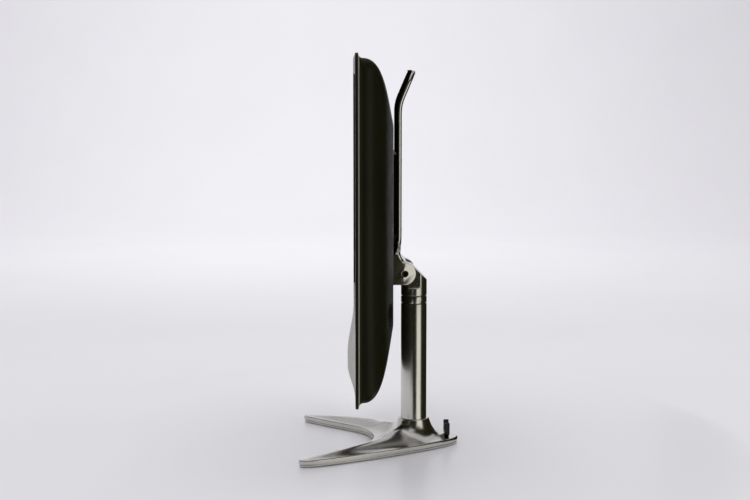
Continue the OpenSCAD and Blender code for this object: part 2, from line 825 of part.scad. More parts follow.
module av_sockets() color([0.85, 0.8, 0.5]) at_column() for (x = av_x) difference() {
    union() {
        slab(x, jack_row_z, housing_w, housing_h, board_back, wall_y - sheet_t);
        bar_y(x, jack_row_z, jack_d / 2, wall_y - sheet_t - cut, jack_end);
    }
    bar_y(x, jack_row_z, jack_pin_d / 2, jack_end - jack_pin_depth, jack_end + cut);
}

module antenna_socket() color([0.8, 0.8, 0.78]) at_column() difference() {
    union() {
        slab(antenna_x, jack_row_z, housing_w, housing_h, board_back, wall_y - sheet_t);
        bar_y(antenna_x, jack_row_z, antenna_d / 2, wall_y - sheet_t - cut, jack_end);
    }
    bar_y(antenna_x, jack_row_z, antenna_bore_d / 2, jack_end - antenna_depth, jack_end + cut);
}

module power_inlet() color([0.08, 0.08, 0.08]) at_column() difference() {
    slab(inlet_x, jack_row_z, inlet_w, inlet_h, board_back, back_y);
    bar_y(inlet_x, jack_row_z, inlet_bore_d / 2, back_y - inlet_depth, back_y + cut);
}

// Speakers behind the grille
module speaker_boxes() color([0.15, 0.15, 0.16]) at_column() both_sides() difference() {
    union() {
        slab(box_x, (box_low + box_high) / 2, box_w, box_high - box_low, rim_y, box_back);
        slab(port_x, (chamber_low + chamber_high) / 2, chamber_w, chamber_high - chamber_low, chamber_front,
            chamber_back);
    }
    slab(box_x, (box_low + box_high) / 2, box_w - 2 * box_wall, box_high - box_low - 2 * box_wall,
        rim_y - cut, box_back - box_wall);
    slab(port_x, (chamber_low + chamber_high) / 2, chamber_w - 2 * box_wall,
        chamber_high - chamber_low - 2 * box_wall, chamber_front + box_wall, chamber_back - box_wall);
    slab(port_x, (chamber_low + box_high) / 2, chamber_w / 2, (box_high - chamber_low) / 2,
        box_back - box_wall - cut, chamber_front + box_wall + cut);
    bar_y(port_x, port_z, port_r, chamber_back - box_wall - cut, chamber_back + cut);
}

frame_back = rim_y + speaker_flange_t + basket_h;

module speaker_frames() color([0.3, 0.3, 0.32]) at_column() both_sides() difference() {
    union() {
        bar_y(speaker_x, speaker_z, speaker_r + speaker_flange, rim_y, rim_y + speaker_flange_t);
        bar_y(speaker_x, speaker_z, speaker_r + basket_wall, rim_y, frame_back);
        bar_y(speaker_x, speaker_z, magnet_r, frame_back - cut, frame_back + magnet_h);
    }
    bar_y(speaker_x, speaker_z, speaker_r, rim_y - cut, frame_back - basket_wall);
}

cone_t = 0.8;
cone_inner = 7;
cone_h = 6;
cone_set = 1;
cone_gap = 0.5;
cone_r = speaker_r - cone_gap;
module speaker_cones() color([0.1, 0.1, 0.11]) at_column() both_sides()
    translate([speaker_x, rim_y + cone_set, speaker_z]) rotate([-90, 0, 0]) rotate_extrude()
        polygon([[0, cone_h], [cone_inner, cone_h], [cone_r, 0], [cone_r, cone_t],
            [cone_inner, cone_h + cone_t], [0, cone_h + cone_t]]);

module bass_ports() color([0.04, 0.04, 0.04]) at_column() both_sides() intersection() {
    difference() {
        bar_y(port_x, port_z, port_r + port_wall, chamber_back, back_y);
        bar_y(port_x, port_z, port_r, chamber_back - cut, back_y + cut);
    }
    skin(cover_rings(0, 0));
}

// Rear cover: domed shell with vents and openings
vent_w = 3;
vent_h = 26;
vent_step = 9;
vent_count = 8;
vent_out = 12;
vent_drop = 18;
vent_x = spine_w / 2 + vent_out;
vent_z = flat_high - vent_h / 2 - vent_drop;

module rear_cover() color([0.06, 0.06, 0.045]) at_column() difference() {
    skin(cover_rings(0, 0));
    skin(cover_rings(cover_wall, cut));
    for (p = COVER_SCREWS) {
        bar_y(p[0], p[1], cover_screw_r + screw_clear, wall_y - cut, back_y);
        bar_y(p[0], p[1], cover_head_r + screw_clear, back_y - cover_head_sink, back_y + cut);
    }
    for (p = MOUNT_SCREWS) bar_y(p[0], p[1], mount_screw_r + screw_clear, wall_y - cut, back_y + cut);
    both_sides() bar_y(port_x, port_z, port_r + port_wall + screw_clear, chamber_back - cut, back_y + cut);
    slab(-board_x, jack_row_z, board_w - 2 * jack_window_edge, jack_plate_h - 2 * jack_window_edge,
        wall_y - cut, back_y + cut);
    both_sides() for (i = [0 : vent_count - 1])
        slab(vent_x + i * vent_step, vent_z, vent_w, vent_h, wall_y - cut, back_y + cut);
    for (i = [0 : len(key_names) - 1])
        bar_x(key_y, key_z + i * key_step_h, key_d / 2 + free_clear, key_wall_x - cut, key_stem_x);
}

cover_seat = back_y - cover_head_sink;
module cover_screws() color([0.25, 0.25, 0.25]) at_column() for (p = COVER_SCREWS) {
    bar_y(p[0], p[1], cover_screw_r, wall_y - cover_thread, cover_seat);
    bar_y(p[0], p[1], cover_head_r, cover_seat, cover_seat + cover_head_h);
}

// Posts, pad and screws that carry the panel on the bracket
module post(p, thread_r, depth) difference() {
    bar_y(p[0], p[1], post_r, chassis_back, wall_y);
    bar_y(p[0], p[1], thread_r + run_clear, wall_y - depth - thread_runout, wall_y + cut);
}

thread_runout = 1;
module mount_posts() color([0.75, 0.75, 0.77]) at_column() {
    for (p = MOUNT_SCREWS) post(p, mount_screw_r, post_thread);
    for (p = COVER_SCREWS) post(p, cover_screw_r, cover_thread);
}

mount_pad_low = fillet_z + spine_web_rise + module_gap;
mount_pad_high = screw_mid_z + screw_rows_h / 2 + mount_pad_edge;
mount_pad_half = screw_rows_w / 2 + mount_pad_side;
mount_pad_right = [
    [mount_pad_low_w / 2, mount_pad_low], [mount_pad_half, flare_high], [mount_pad_half, mount_pad_high]
];
module mount_pad() color([0.1, 0.1, 0.1]) at_column() difference() {
    front_extrude(back_y, plate_front) polygon(concat(
        mount_pad_right,
        [for (i = [len(mount_pad_right) - 1 : -1 : 0]) [-mount_pad_right[i][0], mount_pad_right[i][1]]]
    ));
    for (p = MOUNT_SCREWS)
        bar_y(p[0], p[1], mount_screw_r + screw_clear, back_y - cut, plate_front + cut);
}

mount_socket_d = 2.9;
module spine_screws() color([0.5, 0.5, 0.46]) at_column() for (p = MOUNT_SCREWS) difference() {
    union() {
        bar_y(p[0], p[1], mount_screw_r, wall_y - post_thread, plate_rear);
        bar_y(p[0], p[1], mount_head_r, plate_rear, plate_rear + mount_head_h);
    }
    translate([p[0], plate_rear, p[1]]) rotate([-90, 0, 0])
        cylinder(d = mount_socket_d, h = mount_head_h + cut, $fn = 6);
}

// Bracket: handle, plate and yoke in one side profile
ear_turn = atan2(fillet_z - pivot_z, fillet_y - pivot_y);
bend_c = [plate_rear + bend_r, bend_z];
handle_dir = [sin(handle_angle), cos(handle_angle)];
handle_out = [-cos(handle_angle), sin(handle_angle)];
tip_c = bend_c + (bend_r + spine_t / 2) * handle_out + handle_len * handle_dir;
spine_side = concat(
    [[back_y, yoke_low]],
    arc([pivot_y, pivot_z], ear_r, -90, ear_turn, 24),
    arc([fillet_y, fillet_z], ear_fillet, ear_turn + 180, 180, 10),
    arc(bend_c, bend_r, 180, 180 - handle_angle, 8),
    arc(tip_c, spine_t / 2, -handle_angle, 180 - handle_angle, 8),
    arc(bend_c, bend_r + spine_t, 180 - handle_angle, 180, 8),
    [[plate_front, fillet_z + spine_web_rise], [back_y, yoke_web_z]]
);

// Bracket from the front: narrow yoke, flare and handle with round corners
corner_c = [spine_w / 2 - handle_corner, handle_top - handle_corner];
spine_flare = [[yoke_w / 2, flare_low], [yoke_w / 2, (flare_low + 2 * flare_high) / 3],
    [spine_w / 2, (2 * flare_low + flare_high) / 3], [spine_w / 2, flare_high]];
spine_edge = concat(
    [[yoke_w / 2, yoke_low - cut]],
    curve(spine_flare, 10),
    [[spine_w / 2, flare_high]],
    arc(corner_c, handle_corner, 0, 90, 8)
);
spine_front = concat(
    spine_edge,
    [for (i = [len(spine_edge) - 1 : -1 : 0]) [-spine_edge[i][0], spine_edge[i][1]]]
);

module spine() color([0.46, 0.46, 0.4]) at_column() difference() {
    intersection() {
        side_extrude(spine_w + 2 * cut) polygon(spine_side);
        front_extrude(back_y - cut, 3 * bend_r) polygon(spine_front);
    }
    side_extrude(slot_w) {
        translate([pivot_y, pivot_z]) circle(slot_r);
        translate([pivot_y - slot_r, yoke_low - cut]) square([2 * slot_r + cut, ear_r + cut]);
    }
    both_sides() translate([yoke_w / 2, pivot_y - ear_taper_lead, yoke_low - cut]) rotate([0, 0, ear_taper])
        cube([yoke_w, yoke_w, fillet_z - yoke_low + 2 * cut]);
    bar_x(pivot_y, pivot_z, pin_d / 2 + run_clear, -yoke_w, yoke_w);
    for (p = MOUNT_SCREWS)
        bar_y(p[0], p[1], mount_screw_r + screw_clear, plate_front - cut, plate_rear + cut);
}

pin_half = yoke_w / 2 - pin_recess;
module pivot_pin() color([0.2, 0.2, 0.2]) at_column() difference() {
    bar_x(pivot_y, pivot_z, pin_d / 2, -pin_half, pin_half);
    for (s = [-1, 1]) translate([s * pin_half, pivot_y, pivot_z]) rotate([0, 90, 0])
        cylinder(d = pin_socket, h = 2 * pin_socket_depth, center = true, $fn = 6);
}

// Keys, their switches and their board
module button_board() color([0.1, 0.35, 0.15]) at_column() {
    z0 = key_z - key_board_edge;
    translate([key_board_x, seam_y, z0])
        cube([board_t, key_board_w, (len(key_names) - 1) * key_step_h + 2 * key_board_edge]);
}

module tact_switches() color([0.15, 0.15, 0.15]) at_column() for (i = [0 : len(key_names) - 1])
    translate([key_board_x - switch_h, key_y - switch_w / 2, key_z + i * key_step_h - switch_w / 2])
        cube([switch_h, switch_w, switch_w]);

module key(i) color([0.1, 0.1, 0.08]) at_column() {
    z = key_z + i * key_step_h;
    bar_x(key_y, z, key_d / 2, key_wall_x - key_proud, key_stem_x);
    bar_x(key_y, z, key_d / 2 + key_flange, key_flange_x, key_stem_x);
}

module power_key() key(5);
module input_key() key(4);
module channel_up_key() key(3);
module channel_down_key() key(2);
module volume_up_key() key(1);
module volume_down_key() key(0);

// Tilt head on the spindle: a column-wide block, flat on its cheeks and sloped at its rear
chord_y = sqrt(pow(head_r, 2) - pow(cheek_w / 2, 2));
cheek_reach = 2 * head_r;
cheek_step = 2.5;
cheek_side = concat(
    [[-cheek_reach, cheek_low]],
    arc([chord_y - cheek_corner, cheek_low + cheek_corner], cheek_corner, -90, 0, 8),
    [[cheek_reach, cheek_low + cheek_corner + cheek_step], [cheek_reach, head_top + cheek_reach]],
    [[-cheek_reach, head_top + cheek_reach]]
);

module head_block() difference() {
    bar_z([0, 0], head_r, swivel_z, head_top);
    translate([0, 0, slope_sum]) rotate([slope_angle, 0, 0]) translate([-2 * head_r, 0, -4 * head_r])
        cube([4 * head_r, 4 * head_r, 8 * head_r]);
    for (s = [-1, 1])
        translate([s * (cheek_w / 2 + head_r), 0, 0]) side_extrude(2 * head_r) polygon(cheek_side);
}

module swivel_head() color([0.5, 0.5, 0.44]) at_column() difference() {
    union() {
        head_block();
        bar_x(pivot_y, pivot_z, knuckle_r, -cheek_w / 2, cheek_w / 2);
    }
    bar_x(pivot_y, pivot_z, pin_d / 2 + tilt_bush_wall + run_clear, cheek_w / 2 - tilt_bush_len, head_r);
    bar_x(pivot_y, pivot_z, pin_d / 2 + tilt_bush_wall + run_clear, -head_r, tilt_bush_len - cheek_w / 2);
    bar_x(pivot_y, pivot_z, pin_d / 2 + head_bore_relief, -head_r, head_r);
    bar_z([0, 0], spindle_r + run_clear, swivel_z - cut, swivel_z + spindle_seat);
}

module tilt_bushes() color([0.8, 0.65, 0.35]) at_column() both_sides() difference() {
    bar_x(pivot_y, pivot_z, pin_d / 2 + tilt_bush_wall, cheek_w / 2 - tilt_bush_len, cheek_w / 2);
    bar_x(pivot_y, pivot_z, pin_d / 2 + run_clear, 0, cheek_w);
}

washer_inset = 1;
module friction_washers() color([0.15, 0.15, 0.15]) at_column() both_sides() difference() {
    bar_x(pivot_y, pivot_z, knuckle_r - washer_inset, cheek_w / 2, cheek_w / 2 + friction_t);
    bar_x(pivot_y, pivot_z, pin_d / 2 + run_clear, 0, cheek_w);
}

module swivel_spindle() color([0.6, 0.6, 0.62]) at_column()
    bar_z([0, 0], spindle_r, nut_low, swivel_z + spindle_seat);

module spindle_nut() color([0.65, 0.65, 0.67]) at_column() difference() {
    translate([0, 0, nut_low]) cylinder(r = nut_r, h = nut_h, $fn = 6);
    bar_z([0, 0], spindle_r + run_clear, nut_low - cut, nut_low + nut_h + cut);
}

// Column
module ring_z(r, bore, z0, z1) difference() {
    bar_z([0, 0], r, z0, z1);
    bar_z([0, 0], bore, z0 - cut, z1 + cut);
}

module thrust_washer() color([0.12, 0.12, 0.11]) at_column()
    ring_z(groove_r, spindle_r + run_clear, ring_top, swivel_z);

module swivel_ring() color([0.55, 0.55, 0.49]) at_column()
    ring_z(head_r, spindle_r + run_clear, ring_low, ring_top);

module column_bush() color([0.12, 0.12, 0.11]) at_column() difference() {
    union() {
        bar_z([0, 0], groove_r, tube_top, ring_low);
        bar_z([0, 0], tube_inner - run_clear, bush_low, ring_low);
    }
    bar_z([0, 0], spindle_r + run_clear, bush_low - cut, ring_low + cut);
}

module column_tube() color([0.58, 0.58, 0.52]) at_column() ring_z(head_r, tube_inner, tube_low, tube_top);

module column_plug() color([0.5, 0.5, 0.5]) at_column()
    ring_z(tube_inner - run_clear, bolt_r + run_clear, tube_low, tube_low + plug_h);

module column_bolt() color([0.3, 0.3, 0.3]) at_column() {
    bar_z([0, 0], bolt_head_r, casting_low - bolt_head_h, casting_low);
    bar_z([0, 0], bolt_r, casting_low, casting_low + bolt_len);
}

// Foot
module foot_casting() color([0.6, 0.6, 0.54]) at_column() difference() {
    skin(foot_rings);
    bar_z([0, 0], head_r + run_clear, tube_low, collar_z + cut);
    bar_z([0, 0], bolt_r + screw_clear, casting_low - cut, tube_low + cut);
    for (p = FOOT_SCREWS)
        bar_z(p, foot_screw_r + run_clear, casting_low - cut,
            casting_low + foot_screw_len + foot_screw_runout);
    bar_z([0, clip_y], clip_spigot_r + run_clear, clip_spigot_low, collar_z);
}

module foot_plate() color([0.5, 0.5, 0.45]) at_column() difference() {
    translate([0, 0, plate_low]) linear_extrude(foot_plate_t)
        polygon(inset_outline(foot_outline, plate_inset));
    bar_z([0, 0], bolt_head_r + bolt_head_clear, plate_low - cut, casting_low + cut);
    for (p = FOOT_SCREWS) {
        bar_z(p, foot_screw_r + screw_clear, plate_low - cut, casting_low + cut);
        bar_z(p, foot_screw_head_r + screw_clear, plate_low - cut, plate_low + foot_screw_head_h);
    }
}

module foot_screws() color([0.35, 0.35, 0.35]) at_column() for (p = FOOT_SCREWS) {
    bar_z(p, foot_screw_head_r, plate_low, plate_low + foot_screw_head_h);
    bar_z(p, foot_screw_r, plate_low, casting_low + foot_screw_len);
}

module rubber_feet() color([0.05, 0.05, 0.05]) at_column() for (p = PADS) bar_z(p, pad_d / 2, 0, pad_t);

// Cable clip: an upright fork on a spigot, just clear of the foot's top at its front face
clip_spigot_r = 3;
clip_neck = 0.5;
clip_floor = 4;
clip_low = foot_top([0, clip_y - clip_t / 2]) + clip_neck;
clip_spigot_low = casting_low + clip_floor;
module cable_clip() color([0.03, 0.03, 0.03]) at_column() {
    prong_r = clip_wall / 2;
    slot_half = clip_w / 2 - clip_wall;
    bar_z([0, clip_y], clip_spigot_r, clip_spigot_low, clip_low + 1);
    translate([0, clip_y + clip_t / 2, clip_low]) rotate([90, 0, 0]) linear_extrude(clip_t) {
        difference() {
            union() {
                translate([-clip_w / 2, clip_wall]) square([clip_w, clip_h - clip_wall - prong_r]);
                translate([-clip_w / 2 + clip_wall, 0]) square([clip_w - 2 * clip_wall, 2 * clip_wall]);
                for (s = [-1, 1]) translate([s * (clip_w / 2 - clip_wall), clip_wall]) circle(clip_wall);
            }
            translate([-slot_half, clip_wall]) square([2 * slot_half, clip_h]);
        }
        for (s = [-1, 1]) translate([s * (clip_w / 2 - prong_r), clip_h - prong_r]) circle(prong_r);
    }
}

front_bezel();
speaker_grille();
remote_window();
power_light();
signal_board();
lcd_glass();
diffuser_sheet();
lamp_tubes();
lamp_holders();
lamp_tray();
panel_brackets();
bracket_screws();
chassis_plate();
board_standoffs();
main_board();
tuner_can();
heat_sink();
power_board();
transformer();
power_capacitors();
jack_plate();
av_sockets();
antenna_socket();
power_inlet();
speaker_boxes();
speaker_frames();
speaker_cones();
bass_ports();
rear_cover();
cover_screws();
mount_posts();
mount_pad();
spine();
spine_screws();
pivot_pin();
button_board();
tact_switches();
power_key();
input_key();
channel_up_key();
channel_down_key();
volume_up_key();
volume_down_key();
swivel_head();
tilt_bushes();
friction_washers();
swivel_spindle();
spindle_nut();
thrust_washer();
swivel_ring();
column_bush();
column_tube();
column_plug();
column_bolt();
foot_casting();
foot_plate();
foot_screws();
rubber_feet();
cable_clip();
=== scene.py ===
"""Looks of a flat screen tv on a column stand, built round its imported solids."""

import json
import logging
import math
from contextlib import contextmanager
from dataclasses import dataclass, field
from enum import Enum
from typing import Any, Callable, Iterator, Sequence

import bmesh
import bpy
from mathutils import Euler, Matrix, Vector

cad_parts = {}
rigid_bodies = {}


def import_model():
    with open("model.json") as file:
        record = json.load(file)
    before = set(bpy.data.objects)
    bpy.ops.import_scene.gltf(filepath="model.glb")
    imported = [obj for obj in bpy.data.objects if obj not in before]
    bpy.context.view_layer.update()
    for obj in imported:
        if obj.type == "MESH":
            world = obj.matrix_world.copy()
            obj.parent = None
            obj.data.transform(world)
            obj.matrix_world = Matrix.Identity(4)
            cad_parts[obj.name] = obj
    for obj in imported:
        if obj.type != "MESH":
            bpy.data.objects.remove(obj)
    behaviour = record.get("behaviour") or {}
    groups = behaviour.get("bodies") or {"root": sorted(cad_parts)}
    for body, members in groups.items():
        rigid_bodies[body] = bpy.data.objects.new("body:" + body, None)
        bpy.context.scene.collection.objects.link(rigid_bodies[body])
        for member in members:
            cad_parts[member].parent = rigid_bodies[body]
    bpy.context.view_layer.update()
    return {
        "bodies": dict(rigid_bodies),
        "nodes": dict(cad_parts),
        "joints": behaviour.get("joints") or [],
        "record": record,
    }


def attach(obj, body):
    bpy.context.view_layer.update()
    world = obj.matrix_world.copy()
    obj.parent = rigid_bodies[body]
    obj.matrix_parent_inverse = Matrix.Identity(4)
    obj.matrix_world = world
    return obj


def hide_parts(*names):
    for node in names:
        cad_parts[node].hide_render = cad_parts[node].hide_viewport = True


logging.basicConfig(level=logging.INFO, format="%(message)s")
LOG = logging.getLogger("tv")

Colour = tuple[float, float, float]
Pair = tuple[float, float]
Ring = list[tuple[float, float, float]]

# Metres in a millimetre
MM = 0.001
# Doubles closer than this are merged, in metres
MERGE = 1e-6
# Slack when places are compared, in metres
SLACK = 1e-5
# Faces of a CAD node that meet at less than this angle in degrees are one flat face
FLAT = 0.3
# Least part of a normal along an axis for a face that looks along it
FACING = 0.9
# A quarter of a turn
QUARTER = math.pi / 2
# Turn of a pattern that lays it on faces along X and Z
FACE_ON = (-QUARTER, 0.0, 0.0)
# The column's axis in millimetres, and the shift that takes a piece there
COLUMN_Y = 46.0
TO_COLUMN = Matrix.Translation((0, COLUMN_Y * MM, 0))


class Axis(Enum):
    """Direction that a turned or round piece points along, as a turn from +Z."""

    X = (0.0, QUARTER, 0.0)
    Y = (-QUARTER, 0.0, 0.0)
    Z = (0.0, 0.0, 0.0)


class Body(Enum):
    """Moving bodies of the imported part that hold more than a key."""

    STAND = "stand"
    HEAD = "head"
    PANEL = "panel"


# Curves


def quarter(steps: int) -> list[float]:
    """Angles from nothing to a quarter turn."""
    return [QUARTER * i / steps for i in range(steps + 1)]


def bezier_weights(u: float) -> tuple[float, float, float, float]:
    """Weights of a cubic curve's four points at a share of its run."""
    v = 1 - u
    return v ** 3, 3 * v ** 2 * u, 3 * v * u ** 2, u ** 3


# Modelling


def clear_selection() -> None:
    """Leaves edit mode and deselects everything."""
    if bpy.context.object and bpy.context.object.mode != "OBJECT":
        bpy.ops.object.mode_set(mode="OBJECT")
    bpy.ops.object.select_all(action="DESELECT")


def hold(obj: bpy.types.Object) -> None:
    """Makes one piece the only selected and the active one.

    Args:
        obj: The piece.
    """
    clear_selection()
    obj.select_set(True)
    bpy.context.view_layer.objects.active = obj


@contextmanager
def edit(obj: bpy.types.Object) -> Iterator[None]:
    """Edit mode on one piece, with its whole mesh selected.

    Args:
        obj: The piece to shape.

    Yields:
        Nothing. Edit mode ends with the block.
    """
    hold(obj)
    bpy.ops.object.mode_set(mode="EDIT")
    bpy.context.tool_settings.mesh_select_mode = (True, False, False)
    bpy.ops.mesh.select_all(action="SELECT")
    yield
    bpy.ops.object.mode_set(mode="OBJECT")


def settle(name: str) -> bpy.types.Object:
    """Names the new primitive and moves its place, turn and scale into its mesh.

    Args:
        name: Name of the piece.

    Returns:
        The primitive, at the origin.
    """
    obj = bpy.context.object
    obj.name = obj.data.name = name
    bpy.ops.object.transform_apply(location=True, rotation=True, scale=True)
    return obj


def apply_modifier(obj: bpy.types.Object, kind: str, **settings: Any) -> None:
    """Adds one modifier to a piece and applies it.

    Args:
        obj: The piece.
        kind: Blender's name for the modifier.
        settings: Values of the modifier.
    """
    hold(obj)
    modifier = obj.modifiers.new(kind.title(), kind)
    for key, value in settings.items():
        setattr(modifier, key, value)
    bpy.ops.object.modifier_apply(modifier=modifier.name)


def pick_faces(obj: bpy.types.Object, test: Callable[[bmesh.types.BMFace], bool]) -> None:
    """Selects the faces that pass a test, in edit mode.

    Args:
        obj: The piece in edit mode.
        test: Takes a face.
    """
    bpy.context.tool_settings.mesh_select_mode = (False, False, True)
    mesh = bmesh.from_edit_mesh(obj.data)
    for face in mesh.faces:
        face.select_set(test(face))
    mesh.select_flush_mode()
    bmesh.update_edit_mesh(obj.data)


def pick_edges(obj: bpy.types.Object, test: Callable[[bmesh.types.BMEdge], bool]) -> None:
    """Selects the edges that pass a test, in edit mode.

    Args:
        obj: The piece in edit mode.
        test: Takes an edge.
    """
    bpy.context.tool_settings.mesh_select_mode = (False, True, False)
    mesh = bmesh.from_edit_mesh(obj.data)
    for edge in mesh.edges:
        edge.select_set(test(edge))
    mesh.select_flush_mode()
    bmesh.update_edit_mesh(obj.data)


def extrude(shift: Sequence[float]) -> None:
    """Extrudes what is selected, in edit mode."""
    bpy.ops.mesh.extrude_region_move(TRANSFORM_OT_translate={"value": shift})


def next_ring(shift: Sequence[float], scale: Sequence[float], middle: Sequence[float]) -> None:
    """Extrudes the selected ring and scales the new one about a middle, in edit mode."""
    extrude(shift)
    bpy.ops.transform.resize(value=scale, center_override=middle)


def close_up(obj: bpy.types.Object) -> None:
    """Merges doubles and turns the faces outwards.

    Args:
        obj: The piece.
    """
    with edit(obj):
        bpy.ops.mesh.remove_doubles(threshold=MERGE)
        bpy.ops.mesh.normals_make_consistent(inside=False)


def smooth(obj: bpy.types.Object, angle: float = 35.0) -> None:
    """Shades a piece smooth up to an angle in degrees."""
    hold(obj)
    bpy.ops.object.shade_smooth_by_angle(angle=math.radians(angle))


def even_out(obj: bpy.types.Object, angle: float, weight: int = 60) -> None:
    """Shades a piece smooth up to an angle in degrees, and its large faces flat."""
    smooth(obj, angle)
    apply_modifier(obj, "WEIGHTED_NORMAL", weight=weight, keep_sharp=True)


def soften(obj: bpy.types.Object, edge: float, segments: int = 3, limit: float = 35.0,
           shading: float = 50.0) -> None:
    """Rounds the sharp edges of a piece and evens its shading.

    Args:
        obj: The piece.
        edge: Radius of the rounding in millimetres.
        segments: Steps of the rounding.
        limit: Smallest angle in degrees that counts as an edge.
        shading: Largest angle in degrees that is shaded smooth.
    """
    apply_modifier(obj, "BEVEL", width=edge * MM, segments=segments, limit_method="ANGLE",
                   angle_limit=math.radians(limit), use_clamp_overlap=False, miter_outer="MITER_ARC")
    even_out(obj, shading)


def rounded_sheet(name: str, size: Pair, y: float, mid: float, radius: float,
                  steps: int) -> bpy.types.Object:
    """A flat sheet in X and Z with round corners.

    Args:
        name: Name of the piece.
        size: Width and height in millimetres.
        y: Its depth in millimetres.
        mid: Height of its middle in millimetres.
        radius: Corner radius in millimetres.
        steps: Segments of each corner.

    Returns:
        The sheet, facing -Y.
    """
    clear_selection()
    bpy.ops.mesh.primitive_plane_add(size=1, location=(0, y * MM, mid * MM), rotation=(QUARTER, 0, 0))
    bpy.context.object.scale = (size[0] * MM, size[1] * MM, 1)
    obj = settle(name)
    with edit(obj):
        bpy.ops.mesh.bevel(offset=radius * MM, segments=steps, affect="VERTICES")
    return obj


def draw_out(obj: bpy.types.Object, rings: Sequence[Pair], half: Pair, mid: float) -> None:
    """Extrudes a sheet through rings that are drawn in from its outline.

    Args:
        obj: The sheet, which is the first ring.
        rings: How far each ring is drawn in, and its depth, in millimetres.
        half: Half width and half height at no draw, in millimetres.
        mid: Height of the middle in millimetres.
    """
    with edit(obj):
        for (inset, y), (inset_next, y_next) in zip(rings, rings[1:]):
            across = (half[0] - inset_next) / (half[0] - inset)
            up = (half[1] - inset_next) / (half[1] - inset)
            next_ring((0, (y_next - y) * MM, 0), (across, 1, up), (0, y_next * MM, mid * MM))
    close_up(obj)


def turned(name: str, profile: Sequence[Pair], place: Sequence[float], axis: Axis = Axis.Z,
           segments: int = 96, hollow: bool = True) -> bpy.types.Object:
    """A piece turned on a lathe: a circle drawn through a profile.

    Args:
        name: Name of the piece.
        profile: Radius and height of each ring in millimetres.
        place: Where its axis starts, in millimetres.
        axis: Direction of the axis.
        segments: Sides of the circle.
        hollow: Whether the profile goes round a bore and ends where it starts.

    Returns:
        The turned piece.
    """
    clear_selection()
    bpy.ops.mesh.primitive_circle_add(vertices=segments, radius=profile[0][0] * MM,
                                      location=(0, 0, profile[0][1] * MM),
                                      fill_type="NOTHING" if hollow else "NGON")
    obj = settle(name)
    rings = [*profile, profile[0]] if hollow else list(profile)
    with edit(obj):
        for (r, h), (r_next, h_next) in zip(rings, rings[1:]):
            scale = r_next / r
            next_ring((0, 0, (h_next - h) * MM), (scale, scale, 1), (0, 0, h_next * MM))
    close_up(obj)
    obj.data.transform(Matrix.Translation(Vector(place) * MM) @ Euler(axis.value).to_matrix().to_4x4())
    smooth(obj)
    return obj


def along_y(edge: bmesh.types.BMEdge) -> bool:
    """Whether an edge runs along Y."""
    run = edge.verts[1].co - edge.verts[0].co
    return abs(run.x) + abs(run.z) < MERGE


def block(low: Sequence[float], high: Sequence[float], corner: float = 0.0,
          steps: int = 6) -> bpy.types.Object:
    """A block for cutting, with its edges along Y rounded.

    Args:
        low: Lowest corner in millimetres.
        high: Highest corner in millimetres.
        corner: Radius of the edges along Y in millimetres.
        steps: Segments of each rounding.

    Returns:
        The block.
    """
    clear_selection()
    middle = [(a + b) / 2 * MM for a, b in zip(low, high)]
    bpy.ops.mesh.primitive_cube_add(size=1, location=middle)
    bpy.context.object.scale = [(b - a) * MM for a, b in zip(low, high)]
    obj = settle("block")
    if corner:
        with edit(obj):
            pick_edges(obj, along_y)
            bpy.ops.mesh.bevel(offset=corner * MM, segments=steps, affect="EDGES")
    return obj


def bar(place: Sequence[float], radius: float, length: float, axis: Axis,
        sides: int = 64) -> bpy.types.Object:
    """A round bar for cutting, from its start along its axis.

    Args:
        place: Start of the bar in millimetres.
        radius: Its radius in millimetres.
        length: Its length in millimetres.
        axis: Its direction.
        sides: Sides of the circle.

    Returns:
        The bar.
    """
    return turned("bar", [(radius, 0), (radius, length)], place, axis, sides, hollow=False)


def join(name: str, pieces: Sequence[bpy.types.Object]) -> bpy.types.Object:
    """Joins pieces into one object.

    Args:
        name: Name of the joined piece.
        pieces: What to join.

    Returns:
        The joined piece.
    """
    clear_selection()
    for piece in pieces:
        piece.select_set(True)
    bpy.context.view_layer.objects.active = pieces[0]
    bpy.ops.object.join()
    pieces[0].name = pieces[0].data.name = name
    return pieces[0]


def cut(obj: bpy.types.Object, tools: Sequence[bpy.types.Object]) -> None:
    """Cuts tools out of a piece and removes them.

    Args:
        obj: The piece.
        tools: Closed solids.
    """
    tool = join("cutter", tools)
    apply_modifier(obj, "BOOLEAN", operation="DIFFERENCE", object=tool, solver="EXACT")
    bpy.data.objects.remove(tool)


def new_object(name: str, mesh: bpy.types.Mesh) -> bpy.types.Object:
    """Puts a mesh into the scene.

    Args:
        name: Name of the object.
        mesh: Its mesh.

    Returns:
        The object.
    """
    obj = bpy.data.objects.new(name, mesh)
    bpy.context.scene.collection.objects.link(obj)
    return obj


def copy_of(node: str, name: str, nodes: dict[str, bpy.types.Object]) -> bpy.types.Object:
    """A merged copy of a CAD node, with its flat faces made whole.

    Args:
        node: The CAD node.
        name: Name of the copy.
        nodes: The frame's nodes.

    Returns:
        The copy, which rides on nothing yet.
    """
    mesh = nodes[node].data.copy()
    mesh.materials.clear()
    obj = new_object(name, mesh)
    hold(obj)
    bpy.ops.mesh.customdata_custom_splitnormals_clear()
    with edit(obj):
        bpy.ops.mesh.remove_doubles(threshold=MERGE)
        bpy.ops.mesh.dissolve_limited(angle_limit=math.radians(FLAT))
    return obj


